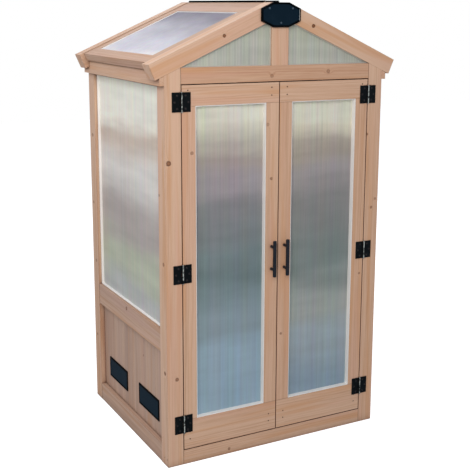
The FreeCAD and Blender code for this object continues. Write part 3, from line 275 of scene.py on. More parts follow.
def knot_field(tree, place, knots):
    """Returns how far the grain swells, and how much a place belongs to a knot and to its rim."""
    swell, heart, rim = 0.0, 0.0, 0.0
    wobble = calc(tree, "MULTIPLY_ADD", mottle(tree, place, 260.0, 2.0), 0.9, 0.55)
    for face, u, v, radius, dark in knots:
        centre = {"front": (u, 0, v), "side": (0, u, v)}[face]
        flat = stretch(tree, place, FACE_MASK[face])
        offset = add(tree, "ShaderNodeVectorMath", {0: flat, 1: [c * MM for c in centre]},
                     operation="SUBTRACT").outputs[0]
        away = add(tree, "ShaderNodeVectorMath", {0: offset}, operation="LENGTH").outputs["Value"]
        # in radii of the knot: the swelling reaches out to 4.5, the heart to 1, the rim to 1.5
        away = calc(tree, "MULTIPLY", calc(tree, "DIVIDE", away, radius * MM), wobble)
        swell = calc(tree, "ADD", swell, step_up(tree, away, 4.5, 0.0))
        heart = calc(tree, "ADD", heart, step_up(tree, away, 1.0, 0.8, 0.0, dark))
        ring = calc(tree, "MULTIPLY", step_up(tree, away, 1.5, 1.0), step_up(tree, away, 0.55, 0.95))
        rim = calc(tree, "MULTIPLY_ADD", ring, dark, rim)
    return swell, heart, rim


# %% [markdown]
# Now the year rings. The distance from the heart line is bent by wide noise and shaken by
# narrow noise, and a knot pushes it outwards. Both noises read a place that is squeezed along
# the grain, so they change slowly that way, as in a real log. Cut into years, each year starts
# pale and ends in a thin dark line of late wood, and white noise makes some years stronger.

# %% Growth rings
RING_WIDTH = 0.0047
RING_BEND, RING_SHAKE, KNOT_PUSH = 0.07, 0.007, 0.006


def squeezed(tree, across, depth, length, factor):
    """A place that is shortened along the grain."""
    short = calc(tree, "MULTIPLY", length, factor)
    return add(tree, "ShaderNodeCombineXYZ", {0: across, 1: depth, 2: short}).outputs[0]


def swing(tree, noise, amount):
    """Noise moved so that it swings round zero."""
    return calc(tree, "MULTIPLY", calc(tree, "SUBTRACT", noise, 0.5), amount)


def late_wood(tree, across, depth, log_place, swell, chance):
    """How much a place belongs to the dark end of a year ring."""
    bend = swing(tree, mottle(tree, log_place, 7.0, 2.0), RING_BEND)
    shake = swing(tree, mottle(tree, log_place, 60.0, 3.0), RING_SHAKE)
    heart_a = calc(tree, "SUBTRACT", across, chance.choice((-1, 1)) * chance.uniform(0.5, 0.9))
    heart_b = calc(tree, "SUBTRACT", depth, chance.choice((-1, 1)) * chance.uniform(0.2, 0.7))
    from_heart = calc(tree, "SQRT", calc(tree, "ADD", calc(tree, "MULTIPLY", heart_a, heart_a),
                                         calc(tree, "MULTIPLY", heart_b, heart_b)))
    for push in (bend, shake, calc(tree, "MULTIPLY", swell, KNOT_PUSH)):
        from_heart = calc(tree, "ADD", from_heart, push)
    years = calc(tree, "DIVIDE", from_heart, RING_WIDTH)
    season = calc(tree, "FRACT", years)
    late = calc(tree, "MULTIPLY", step_up(tree, season, 0.25, 0.85), step_up(tree, season, 1.0, 0.90))
    return calc(tree, "MULTIPLY", late, own_value(tree, calc(tree, "FLOOR", years)))


# %% [markdown]
# The colour follows from the grain: pale early wood, darker late wood, fibres as fine as hair
# and streaks a few millimetres wide. Warm streaks and pinkish clouds lie over it. Then come
# patches greyed by the weather, darker brown arrises, knots and a dark line where two pieces
# butt. Last, brown painted shade is laid into corners, onto ledges and into gaps, where ambient
# occlusion finds them.

# %% Fir
EARLY_WOOD, LATE_WOOD = srgb(217, 179, 150), srgb(186, 138, 105)
WARM_STREAK, PINK_CLOUD = srgb(205, 150, 106), srgb(213, 165, 141)
KNOT_BROWN, KNOT_RIM = srgb(132, 84, 54), srgb(84, 48, 30)
ARRIS_BROWN, WEATHERED = srgb(152, 104, 72), srgb(142, 132, 130)
# the first brown here colours the dark joint lines and also paints shade into gaps; the second paints shade
# onto ledges and into corners
JOINT_AND_GAP_SHADE_BROWN, LEDGE_SHADE_BROWN = srgb(80, 36, 10), srgb(112, 86, 70)
LOG_SQUEEZE, FIBRE_SQUEEZE = 0.05, 0.02
RING_CONTRAST, FIBRE_CONTRAST, STREAK_CONTRAST, CLOUD_CONTRAST = 0.48, 0.95, 1.0, 1.1
JOINT_START, JOINT_FULL = 0.0022, 0.0008
# how far the painted shade in gaps and on ledges reaches, in metres
GAP_SHADE_REACH, LEDGE_SHADE_REACH = 0.012, 0.05


def fir(name, along, seed, knots=(), board_pitch=0.0, tone=0.0, ends=None, gap=0.92, weathering=0.0):
    """Planed fir with its grain in one direction.

    board_pitch gives neighbouring boards their own cut of the log; a higher tone is darker.
    ends is the middle and half the length of a rail that butts against other timber, and how
    dark the joint line there is; gap is how dark the painted shade in narrow gaps beside the piece is.
    """
    material, tree, shader, place = new_material(name)
    across, depth, length = lengthwise(tree, place, along)
    on_rail = length
    chance = random.Random(seed)
    swell, heart, rim = knot_field(tree, place, knots)
    shade = tone
    if board_pitch:
        # the boards of a side wall stand next to one another from front to rear
        own = own_value(tree, calc(tree, "FLOOR", calc(tree, "DIVIDE", split(tree, place)[1], board_pitch)))
        length = calc(tree, "ADD", length, calc(tree, "MULTIPLY", own, 3.0))
        across = calc(tree, "ADD", across, calc(tree, "MULTIPLY", own, 0.6))
        shade = calc(tree, "MULTIPLY_ADD", own, 0.35, tone - 0.17)
    log_place = add(tree, "ShaderNodeVectorMath",
                    {0: squeezed(tree, across, depth, length, LOG_SQUEEZE), 1: [chance.uniform(2, 9)] * 3},
                    operation="ADD").outputs[0]
    late = late_wood(tree, across, depth, log_place, swell, chance)
    fibre_place = squeezed(tree, across, depth, length, FIBRE_SQUEEZE)
    fibre = mottle(tree, fibre_place, 700.0, 3.0, 0.7)
    streak = mottle(tree, fibre_place, 150.0, 3.0, 0.6)
    slow = mottle(tree, log_place, 16.0, 3.0)
    grain = shade
    for part in (calc(tree, "MULTIPLY", late, RING_CONTRAST), swing(tree, fibre, FIBRE_CONTRAST),
                 calc(tree, "MULTIPLY_ADD", streak, STREAK_CONTRAST, -0.46),
                 calc(tree, "MULTIPLY_ADD", slow, CLOUD_CONTRAST, -0.46)):
        grain = calc(tree, "ADD", grain, part)
    colour = mix_colour(tree, grain, EARLY_WOOD, LATE_WOOD)
    warm = step_up(tree, mottle(tree, log_place, 38.0, 2.0), 0.48, 0.70, 0.0, 0.60)
    colour = mix_colour(tree, warm, colour, WARM_STREAK)
    pink = step_up(tree, mottle(tree, log_place, 24.0, 2.0), 0.46, 0.70, 0.0, 0.45)
    colour = mix_colour(tree, pink, colour, PINK_CLOUD)
    if weathering:
        patchy = step_up(tree, slow, 0.3, 0.7, 0.7 * weathering, 1.3 * weathering)
        colour = mix_colour(tree, patchy, colour, WEATHERED)
    normal, arris = eased_edges(tree, 0.0016)
    colour = mix_colour(tree, calc(tree, "MULTIPLY", arris, 0.5), colour, ARRIS_BROWN)
    if knots:
        colour = mix_colour(tree, heart, colour, KNOT_BROWN)
        colour = mix_colour(tree, rim, colour, KNOT_RIM)
    if ends:
        middle, half, dark = ends
        from_middle = calc(tree, "ABSOLUTE", calc(tree, "SUBTRACT", on_rail, middle))
        joint = step_up(tree, from_middle, half - JOINT_START, half - JOINT_FULL, 0.0, dark)
        colour = mix_colour(tree, joint, colour, JOINT_AND_GAP_SHADE_BROWN)
    # painted shade: ledges and corners that ambient occlusion finds turn a darker brown
    ledge_shade = calc(tree, "MULTIPLY", shade_in_crevice(tree, LEDGE_SHADE_REACH, 0.80, 0.25), 0.5)
    colour = mix_colour(tree, ledge_shade, colour, LEDGE_SHADE_BROWN)
    # painted shade: narrow gaps beside the piece turn dark brown
    colour = mix_colour(tree, calc(tree, "MULTIPLY", shade_in_crevice(tree, GAP_SHADE_REACH), gap), colour, JOINT_AND_GAP_SHADE_BROWN)
    height = calc(tree, "ADD", calc(tree, "MULTIPLY", late, 0.5), fibre)
    set_shader(tree, shader, base_color=colour, specular_ior_level=0.16,
               roughness=calc(tree, "MULTIPLY_ADD", fibre, 0.22, 0.50),
               normal=relief(tree, height, 0.00025, normal))
    return material


# %% [markdown]
# The posts come first. Each has its own seed, so no two are cut from the same place of the log,
# and its own knots. Of the CAD pieces only the materials change, never the mesh.

# %% Dress the posts


def dress(material, *names):
    """Gives one finish to whole CAD pieces."""
    for name in names:
        slots = nodes[name].data.materials
        slots.clear()
        slots.append(material)
        for face in nodes[name].data.polygons:
            face.material_index = 0


POST_KNOTS = {
    "front_left_post": [("front", -366.4, 298, 5, 0.7), ("side", -306.7, 678, 5, 0.6),
                        ("side", -308.3, 318, 5, 0.9), ("front", -388, 1000, 6.5, 0.8),
                        ("side", -278, 894, 3.5, 0.6)],
    "front_right_post": [("front", 347.4, 1049, 3.5, 0.7), ("front", 389.6, 821, 3.5, 0.5),
                         ("front", 374, 792, 4, 0.6)],
    "rear_left_post": [("side", 330, 1010, 5, 0.7), ("side", 338, 760, 4.5, 0.6),
                       ("side", 326, 540, 4.5, 0.6), ("side", 334, 250, 4, 0.8)],
    "rear_right_post": [("side", 332, 880, 6, 0.7), ("front", 371, 410, 5.5, 0.6),
                        ("side", 328, 330, 5, 0.8)],
}
POST_TONES = {"front_left_post": -0.18}
for number, (post, knots) in enumerate(POST_KNOTS.items()):
    dress(fir("fir_" + post, "Z", 11 + number, knots, tone=POST_TONES.get(post, 0.0)), post)
print(len(POST_KNOTS), "posts dressed")

# %% [markdown]
# Rails lie between the posts, so a dark joint line shows at both of their ends. The boards of
# the lower walls share one material for each wall, but every board gets its own cut and tone.

# %% Dress rails, boards and roof timbers
# middle and half the length of what lies between the posts, across and front to rear
ACROSS, FRONT_TO_REAR = (0.0, 0.346), (0.015, 0.288)
BOARD_PITCH = 0.0978

dress(fir("fir_header", "X", 21, [("front", 184, 1266, 5.5, 0.45), ("front", -28.5, 1256.5, 5, 0.4)],
          tone=0.42, ends=(*ACROSS, 0.7)), "front_header")
dress(fir("fir_sill", "X", 22, [("front", -179, 16, 4, 0.6)], ends=(*ACROSS, 0.7)), "front_sill")
dress(fir("fir_left_rails", "Y", 23, [("side", 27, 439, 5.5, 0.7), ("side", -292, 20, 4, 0.5)],
          tone=0.08, ends=(*FRONT_TO_REAR, 0.4), weathering=0.22), "left_side_rails")
dress(fir("fir_right_rails", "Y", 24, [("side", 160, 402, 6, 0.6), ("side", -60, 30, 5, 0.5)],
          ends=(*FRONT_TO_REAR, 0.4)), "right_side_rails")
dress(fir("fir_rear_rails", "X", 25, [("front", -140, 420, 6, 0.6), ("front", 210, 1262, 5, 0.5)],
          ends=(*ACROSS, 0.4)), "rear_rails")
dress(fir("fir_eave_battens", "Y", 26, tone=0.06), "eave_battens")
dress(fir("fir_front_rafters", "slope", 27, [("front", 123.5, 1412, 5, 1.0), ("front", -198, 1383, 4.5, 0.9)],
          tone=-0.25), "front_rafters")
dress(fir("fir_rear_rafters", "slope", 28, [("front", -160, 1398, 6, 0.7)], gap=0.35), "rear_rafters")
dress(fir("fir_king_posts", "Z", 29), "king_posts")
dress(fir("fir_ridge_board", "Y", 30), "ridge_board")
dress(fir("fir_left_boards", "Z", 31, [("side", -80, 300, 3, 0.5), ("side", 60, 372, 4, 0.6)], BOARD_PITCH,
          tone=0.22, weathering=0.34), "left_side_boards")
dress(fir("fir_right_boards", "Z", 32, [("side", 150, 310, 6, 0.6)], BOARD_PITCH,
          tone=0.22, weathering=0.2), "right_side_boards")
dress(fir("fir_rear_boards", "Z", 33, [("front", 90, 200, 6, 0.7), ("front", -250, 330, 5, 0.5)],
          tone=0.05), "rear_boards")

# %% [markdown]
# Doors, roof panels and shelves follow in the same way. In a door the stiles stand between two
# rails, so the joint line runs across the ends of the stiles.

# %% Dress doors, roof panels and shelves
STILE = (0.662, 0.510)
DOOR_KNOTS = {"left": [("front", -41.7, 1102, 4.5, 0.35), ("front", -27.2, 925, 4, 0.6),
                       ("front", -309.7, 1027, 4.5, 0.5)],
              "right": [("front", 331, 560, 3.5, 0.5), ("front", 16, 390, 3.5, 0.6)]}
STILE_TONES = {"left": 0.05, "right": 0.13}
for number, (hand, knots) in enumerate(DOOR_KNOTS.items()):
    dress(fir("fir_%s_door_rails" % hand, "X", 41 + number), hand + "_door_rails")
    dress(fir("fir_%s_door_stiles" % hand, "Z", 43 + number, knots, tone=STILE_TONES[hand],
              ends=(*STILE, 0.35)), hand + "_door_stiles")
    dress(fir("fir_%s_roof_panel" % hand, "roof", 45 + number, tone=0.32, gap=0.35, weathering=0.16),
          hand + "_roof_frame")
for number, shelf in enumerate(("upper_shelf", "middle_shelf", "lower_shelf")):
    dress(fir("fir_" + shelf, "X", 51 + number), shelf)
dress(fir("fir_shelf_cleats", "Y", 54), "shelf_cleats")
print("fir pieces dressed")

# %% [markdown]
# ## Twin-wall panes
# The panes are two thin clear skins joined by upright webs every 10 mm. Through them the inside
# is only a blur of tones: bright under the roof, darker half way down, bluish near the ground.
# Modelling both skins would need many bounces of light, so the sheet stays one solid of frosted
# plastic that is partly see-through, and a colour ramp over the height paints the blur into its
# colour: painted light under the roof, painted shade lower down. Noise bends the height, so that
# the tones don't lie level. Fine upright threads, a lightness of its own for every channel and a
# slight change of hue stand for what the webs do to the light.

# %% Twin-wall plastic
WEB_PITCH = 0.010
TONE_WAVE = 0.16
HUE_SWING = 0.22


def neutral(tree, value):
    """A colour without hue from a number."""
    return add(tree, "ShaderNodeCombineColor", {0: value, 1: value, 2: value}).outputs[0]


def painted_light_by_height(tree, height, stops):
    """Painted light and shade that change smoothly with height; stops are (metres above the ground, colour).
    """
    low, high = stops[0][0], stops[-1][0]
    share = add(tree, "ShaderNodeMapRange",
                {"Value": height, "From Min": low, "From Max": high}).outputs["Result"]
    ramp = add(tree, "ShaderNodeValToRGB", {0: share})
    ramp.color_ramp.interpolation = "EASE"
    while len(ramp.color_ramp.elements) < len(stops):
        ramp.color_ramp.elements.new(0.5)
    for element, (level, colour) in zip(ramp.color_ramp.elements, stops):
        element.position = (level - low) / (high - low)
        element.color = colour
    return ramp.outputs[0]


def twin_wall(name, across, stops, clear, flutes, ribs=0.2, gloss=0.4, ior=1.25):
    """Frosted twin-wall sheet whose webs follow one another across.

    clear is how see-through it is, flutes how much the channels differ in tone, and ribs how
    far their webs stand out from that; gloss and ior give the reflection.
    """
    material, tree, shader, place = new_material(name)
    x, y, z = split(tree, place)
    row = {"X": x, "Y": y, "XY": calc(tree, "ADD", x, y)}[across]
    channel = calc(tree, "DIVIDE", row, WEB_PITCH)
    # web is 1 at a web and 0 in the middle of a channel
    from_middle = calc(tree, "ABSOLUTE", calc(tree, "SUBTRACT", calc(tree, "FRACT", channel), 0.5))
    web = step_up(tree, from_middle, 0.28, 0.48)
    light = own_value(tree, calc(tree, "FLOOR", channel))
    level = stretch(tree, place, (0.4, 0.4, 1.8))
    wave = calc(tree, "MULTIPLY_ADD", mottle(tree, level, 6.0, 3.0), TONE_WAVE, -TONE_WAVE / 2)
    # painted light and shade of the inside: bright high up, darker lower down
    painted_inside = painted_light_by_height(tree, calc(tree, "ADD", z, wave), stops)
    upright = stretch(tree, place, (1.0, 1.0, 0.02))
    thread = mottle(tree, upright, 110.0, 3.0, 0.75)
    streak = calc(tree, "MULTIPLY_ADD", thread, flutes * 3.4, calc(tree, "MULTIPLY", web, flutes * ribs))
    streak = calc(tree, "ADD", streak, calc(tree, "MULTIPLY_ADD", light, -flutes * 0.5, -flutes * 1.45))
    # soft lighter and darker blotches that belong to the painted blur of the inside
    cloud = calc(tree, "MULTIPLY_ADD", mottle(tree, level, 11.0, 3.0), 0.36, 0.80)
    colour = mix_colour(tree, 1.0, painted_inside, neutral(tree, calc(tree, "ADD", streak, cloud)), "MULTIPLY")
    hue = add(tree, "ShaderNodeTexNoise",
              {"Vector": upright, "Scale": 45.0, "Detail": 3.0, "Roughness": 0.6}).outputs["Color"]
    hue = add(tree, "ShaderNodeVectorMath", {0: hue, 1: (HUE_SWING,) * 3, 2: (1.0 - HUE_SWING / 2,) * 3},
              operation="MULTIPLY_ADD").outputs[0]
    colour = mix_colour(tree, 1.0, colour, hue, "MULTIPLY")
    normal = eased_edges(tree, 0.0006)[0]
    swell = calc(tree, "MULTIPLY_ADD", light, 0.5, calc(tree, "MULTIPLY", web, -0.5))
    set_shader(tree, shader, base_color=colour, ior=ior, transmission_weight=clear, specular_ior_level=gloss,
               roughness=calc(tree, "MULTIPLY_ADD", web, 0.10, 0.28),
               normal=relief(tree, swell, 0.0004, normal))
    return material


# %% [markdown]
# Each kind of pane gets its own ramp of painted light and shade. The roof panes are seen almost
# along their face, where any gloss would only mirror the sky, so they have none.

# %% Dress the panes
DOOR_PAINTED_LIGHT = {
    "left": ((0.16, srgb(180, 206, 220)), (0.34, srgb(178, 202, 214)), (0.46, srgb(164, 182, 188)),
             (0.62, srgb(140, 158, 159)), (0.82, srgb(160, 160, 161)), (0.92, srgb(190, 180, 182)),
             (0.99, srgb(194, 180, 172)), (1.08, srgb(236, 230, 212)), (1.15, srgb(255, 252, 234))),
    "right": ((0.16, srgb(164, 184, 198)), (0.34, srgb(184, 196, 202)), (0.46, srgb(192, 196, 190)),
              (0.62, srgb(152, 162, 158)), (0.82, srgb(166, 164, 161)), (0.92, srgb(190, 182, 180)),
              (0.99, srgb(200, 188, 174)), (1.08, srgb(246, 238, 216)), (1.15, srgb(255, 252, 232)))}
WALL_PAINTED_LIGHT = ((0.46, srgb(200, 198, 192)), (0.60, srgb(202, 202, 176)), (0.74, srgb(194, 180, 170)),
              (0.92, srgb(240, 230, 218)), (1.04, srgb(224, 202, 182)), (1.12, srgb(255, 247, 228)),
              (1.24, srgb(255, 251, 230)))
GABLE_PAINTED_LIGHT = ((1.28, srgb(213, 214, 201)), (1.40, srgb(203, 205, 188)))
ROOF_PAINTED_LIGHT = ((1.28, srgb(250, 242, 236)), (1.36, srgb(225, 219, 222)), (1.46, srgb(160, 153, 160)))
for hand, tones in DOOR_PAINTED_LIGHT.items():
    dress(twin_wall("twin_wall_%s_door" % hand, "X", tones, 0.35, 0.12), hand + "_door_pane")
dress(twin_wall("twin_wall_gables", "X", GABLE_PAINTED_LIGHT, 0.35, 0.13, 0.8), "gable_panes")
dress(twin_wall("twin_wall_walls", "XY", WALL_PAINTED_LIGHT, 0.12, 0.07), "wall_panes")
dress(twin_wall("twin_wall_roof", "Y", ROOF_PAINTED_LIGHT, 0.15, 0.06, 0.2, 0.0, 1.06), "left_roof_pane",
      "right_roof_pane")
print("panes dressed")

# %% [markdown]
# The webs themselves are thin upright strips inside the sheet. A row of them is one mesh, built
# box by box in bmesh: a strip every 10 mm, each a little thinner than the gap between the skins.

# %% Webs inside the sheets
SKIN_THICKNESS = 0.0007
WEB_THICKNESS = 0.0005


def box_into(shape, low, high):
    """Adds a closed box to a bmesh."""
    made = [shape.verts.new((x, y, z)) for z in (low[2], high[2]) for y in (low[1], high[1])
            for x in (low[0], high[0])]
    for quad in ((0, 2, 3, 1), (4, 5, 7, 6), (0, 1, 5, 4), (2, 6, 7, 3), (0, 4, 6, 2), (1, 3, 7, 5)):
        shape.faces.new([made[i] for i in quad])


def finish_mesh(name, shape, material, body):
    """Turns a bmesh into a piece of the object that rides on a body."""
    mesh = bpy.data.meshes.new(name)
    bmesh.ops.recalc_face_normals(shape, faces=shape.faces)
    shape.to_mesh(mesh)
    shape.free()
    mesh.materials.append(material)
    piece = bpy.data.objects.new(name, mesh)
    bpy.context.scene.collection.objects.link(piece)
    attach(piece, body)
    return piece


def web_plastic(name):
    """Milky plastic of the webs."""
    material, tree, shader, place = new_material(name)
    cloud = mottle(tree, place, 40.0)
    set_shader(tree, shader, base_color=mix_colour(tree, cloud, srgb(226, 232, 232), srgb(206, 214, 216)),
               roughness=calc(tree, "MULTIPLY_ADD", cloud, 0.2, 0.3), transmission_weight=0.6, ior=1.25)
    return material


milky = web_plastic("twin_wall_webs")


def upright_webs(name, node, axis, body):
    """Webs in an upright sheet; axis is the direction in which they follow one another."""
    low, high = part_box(node)
    shape = bmesh.new()
    start, end = low[axis], high[axis]
    for index in range(math.ceil(start / WEB_PITCH), math.floor(end / WEB_PITCH) + 1):
        first, last = list(low), list(high)
        first[axis] = index * WEB_PITCH - WEB_THICKNESS / 2
        last[axis] = index * WEB_PITCH + WEB_THICKNESS / 2
        for way in (1 - axis, 2):
            first[way] += SKIN_THICKNESS
            last[way] -= SKIN_THICKNESS
        if start < first[axis] and last[axis] < end:
            box_into(shape, first, last)
    print(name, len(shape.faces) // 6, "webs")
    finish_mesh(name, shape, milky, body)


for hand in ("left", "right"):
    upright_webs(hand + "_door_webs", hand + "_door_pane", 0, hand + "_door")

# %% [markdown]
# ## Pale edging
# A thin off-white strip seals the cut edges of each sheet. It is plain matt plastic, so it only
# needs a faint mottle, a little dirt near the arrises and a soft sheen. In the gables it is
# greyer, which is a soft step over the height.

# %% Edging strip
GABLE_FOOT = (1.27, 1.29)


def edging_plastic(name, gable_grey=0.0):
    """Matt off-white strip with a faint mottle; gable_grey is how much greyer it is in the gables."""
    material, tree, shader, place = new_material(name)
    normal, arris = eased_edges(tree, 0.0008)
    colour = mix_colour(tree, mottle(tree, place, 22.0), srgb(252, 246, 240), srgb(238, 232, 224))
    colour = mix_colour(tree, calc(tree, "MULTIPLY", arris, 0.3), colour, srgb(200, 194, 182))
    if gable_grey:
        in_gable = step_up(tree, split(tree, place)[2], *GABLE_FOOT, 0.0, gable_grey)
        colour = mix_colour(tree, in_gable, colour, srgb(178, 172, 158))
    fine = mottle(tree, place, 700.0, 2.0)
    set_shader(tree, shader, base_color=colour, specular_ior_level=0.35,
               roughness=calc(tree, "MULTIPLY_ADD", fine, 0.2, 0.5),
               normal=relief(tree, fine, 0.0001, normal))
    return material


dress(edging_plastic("edging_strip"), "left_door_pane_edging", "right_door_pane_edging",
      "left_roof_pane_edging", "right_roof_pane_edging")
dress(edging_plastic("wall_edging_strip", 0.75), "fixed_pane_edging")

# %% [markdown]
# ## Black fittings
# Hinges and handles are powder coated steel: nearly black, softly shiny, with the fine
# orange-peel skin of the powder, and paler where edges are rubbed. Down the front of the hinge
# knuckles a pale stripe is painted in patches, a painted highlight. The gable plate is dark blue
# with a black rim and a painted highlight on the inner wall of the rim, the vents are moulded
# plastic, and a dull strip of rubber covers the ridge. One function makes them all.

# %% Powder coat and moulded black
HINGE_X, HINGE_Y, KNUCKLE_RADIUS = 0.3445, -0.3305, 0.0035
PLATE_FACE_Y, PLATE_CENTRE_Z = -0.3325, 1.447
PLATE_HALF_WIDTH, PLATE_HALF_HEIGHT = 0.0705, 0.0385
PLATE_CORNER_X, PLATE_CORNER_Z = 0.042, 0.019
RIM_WIDTH, RIM_EDGE = 0.0068, 0.0056
INNER_WALL_X = 0.05


def black_finish(name, base, worn, dullness, peel, gloss, detail=None):
    """Black coat: base colour, colour of rubbed arrises, roughness, fineness of the skin, reflection.

    detail may change the base colour from place to place; it gets the tree, the place and the base.
    """
    material, tree, shader, place = new_material(name)
    normal, arris = eased_edges(tree, 0.0009)
    patches = mottle(tree, place, 60.0, 4.0)
    rubbed = calc(tree, "MULTIPLY", arris, step_up(tree, patches, 0.42, 0.62))
    dust = step_up(tree, mottle(tree, place, 25.0, 5.0, 0.6), 0.45, 0.8)
    coat = detail(tree, place, base) if detail else base
    colour = mix_colour(tree, calc(tree, "MULTIPLY", dust, 0.08), coat, worn)
    colour = mix_colour(tree, calc(tree, "MULTIPLY", rubbed, 0.4), colour, worn)
    skin = mottle(tree, place, peel, 2.0, 0.6)
    rough = calc(tree, "ADD", calc(tree, "MULTIPLY_ADD", skin, 0.16, dullness),
                 calc(tree, "MULTIPLY", dust, 0.1))
    set_shader(tree, shader, base_color=colour, specular_ior_level=gloss, roughness=rough,
               normal=relief(tree, skin, 0.00012, normal))
    return material


def knuckle_highlight(tree, place, base):
    """A pale stripe down the front of the knuckles, in patches: a painted highlight."""
    x, y, _ = split(tree, place)
    aside = calc(tree, "SUBTRACT", calc(tree, "ABSOLUTE", x), HINGE_X)
    in_front = calc(tree, "LESS_THAN", y, HINGE_Y - 0.4 * KNUCKLE_RADIUS)
    near = step_up(tree, calc(tree, "ABSOLUTE", aside), 0.65 * KNUCKLE_RADIUS, 0.3 * KNUCKLE_RADIUS)
    patchy = step_up(tree, mottle(tree, place, 75.0, 2.0), 0.40, 0.58)
    # painted highlight: the front of each knuckle turns pale grey, in patches
    worn = calc(tree, "MULTIPLY", calc(tree, "MULTIPLY", near, in_front), patchy)
    return mix_colour(tree, worn, base, srgb(188, 192, 184))


def black_rim_and_highlight(tree, place, base):
    """The rim of the plate is black; its inner wall on the right is painted near white, a painted highlight.
    """
    x, _, z = split(tree, place)
    beyond_corner_x = calc(tree, "SUBTRACT", calc(tree, "ABSOLUTE", x), PLATE_HALF_WIDTH - PLATE_CORNER_X)
    up = calc(tree, "SUBTRACT", z, PLATE_CENTRE_Z)
    beyond_corner_z = calc(tree, "SUBTRACT", calc(tree, "ABSOLUTE", up), PLATE_HALF_HEIGHT - PLATE_CORNER_Z)
    # distance inside the eight sides: upright, level and sloping ones, 0 at the outside
    from_side = calc(tree, "SUBTRACT", PLATE_CORNER_X, beyond_corner_x)
    from_level = calc(tree, "SUBTRACT", PLATE_CORNER_Z, beyond_corner_z)
    corner = math.hypot(PLATE_CORNER_X, PLATE_CORNER_Z)
    from_slope = calc(tree, "SUBTRACT", PLATE_CORNER_X * PLATE_CORNER_Z / corner, calc(
        tree, "MULTIPLY_ADD", beyond_corner_x, PLATE_CORNER_Z / corner,
        calc(tree, "MULTIPLY", beyond_corner_z, PLATE_CORNER_X / corner)))
    inside = calc(tree, "MINIMUM", from_slope, calc(tree, "MINIMUM", from_side, from_level))
    rim = step_up(tree, inside, RIM_WIDTH, RIM_EDGE)
    normal = add(tree, "ShaderNodeNewGeometry").outputs["True Normal"]
    # painted highlight: on the right of the plate, the inner wall of the rim that faces left
    facing_left = calc(tree, "LESS_THAN", split(tree, normal)[0], -0.9)
    inner = calc(tree, "MULTIPLY", calc(tree, "GREATER_THAN", x, INNER_WALL_X), facing_left)
    coat = mix_colour(tree, rim, base, srgb(2, 3, 4))
    return mix_colour(tree, inner, coat, srgb(236, 238, 236))


# %% [markdown]
# Seven blacks come out of that one function. They differ in the base colour, in how dull they
# are and in how much they reflect. What lies along the ridge is seen almost along its face and
# would mirror the sky there, so its reflection is taken away.

# %% Dress the black fittings
RUBBED_GREY, RUBBED_BLUE, RUBBED_RUBBER = srgb(70, 76, 80), srgb(58, 76, 90), srgb(30, 32, 34)
powder_coat = black_finish("black_powder_coat", srgb(26, 30, 37), srgb(86, 94, 104), 0.36, 900.0, 0.16)
hinge_coat = black_finish("black_hinge_coat", srgb(5, 10, 13), RUBBED_GREY, 0.34, 900.0, 0.08,
                          knuckle_highlight)
blue_black = black_finish("blue_black_plate", srgb(17, 32, 43), RUBBED_BLUE, 0.42, 1100.0, 0.015,
                          black_rim_and_highlight)
moulded_black = black_finish("moulded_black", srgb(2, 3, 4), srgb(24, 30, 36), 0.46, 1400.0, 0.02)
rubber = black_finish("black_rubber", srgb(8, 8, 9), RUBBED_RUBBER, 0.72, 700.0, 0.0)
matt_coat = black_finish("matt_black_coat", srgb(6, 6, 7), RUBBED_RUBBER, 0.6, 900.0, 0.0)
flap_blue = black_finish("blue_black_flap", srgb(10, 31, 43), RUBBED_BLUE, 0.44, 1400.0, 0.04)
dress(hinge_coat, "post_hinge_leaves", "left_door_hinge_leaves", "right_door_hinge_leaves")
dress(powder_coat, "left_door_handle", "right_door_handle")
dress(matt_coat, "ridge_hinge_leaves", "left_roof_hinge_leaf", "right_roof_hinge_leaf")
dress(blue_black, "gable_plate")
dress(moulded_black, "vent_frames", "door_catches")
dress(rubber, "ridge_strip")
dress(flap_blue, "left_front_vent_flap", "left_rear_vent_flap", "right_front_vent_flap",
      "right_rear_vent_flap")

# %% [markdown]
# ## Bright steel
# Hinge pins and strike plates are zinc plated. Metal has almost no colour of its own, it shows
# its surroundings, so the detail is in the roughness: fine scratches and dull spots. The
# screws and nails are browned steel, dark enough to read as dots on the wood.

# %% Zinc plate


def plated_steel(name, bright, dull):
    """Plated steel with fine scratches and dull spots."""
    material, tree, shader, place = new_material(name)
    normal = eased_edges(tree, 0.0004)[0]
    spots = mottle(tree, place, 180.0, 3.0)
    scratch = mottle(tree, stretch(tree, place, (1.0, 1.0, 0.05)), 2500.0, 2.0)
    colour = mix_colour(tree, spots, bright, dull)
    set_shader(tree, shader, base_color=colour, metallic=1.0,
               roughness=calc(tree, "MULTIPLY_ADD", scratch, 0.25, 0.22),
               normal=relief(tree, scratch, 0.00006, normal))
    return material


browned = plated_steel("browned_steel", srgb(88, 62, 50), srgb(58, 40, 34))
dress(plated_steel("zinc_plate", srgb(188, 190, 190), srgb(150, 150, 146)), "hinge_pins",
      "left_door_strike", "right_door_strike")
dress(browned, "frame_fasteners", "left_door_fasteners", "right_door_fasteners")

# %% [markdown]
# ## Screw heads
# The screws of the hinges and of the gable plate have low domed heads with a cross recess. A
# boolean could cut the cross, but a small grid does it with fewer faces: a square lattice is
# pressed into a disc, its middle is raised to a dome, and the lattice lines of the cross are
# pushed back down. A short skirt and a base close the head, so it is a solid of its own.

# %% Screw heads
HEAD_RADIUS = 0.0035
HEAD_RISE = 0.0009
CROSS_DEPTH = 0.0007
HEAD_SKIRT = 0.0003
LATTICE = (-1.0, -0.85, -0.66, -0.58, -0.35, -0.18, -0.13, 0.13, 0.18, 0.35, 0.58, 0.66, 0.85, 1.0)
CROSS_WIDTH, CROSS_REACH = 0.14, 0.60


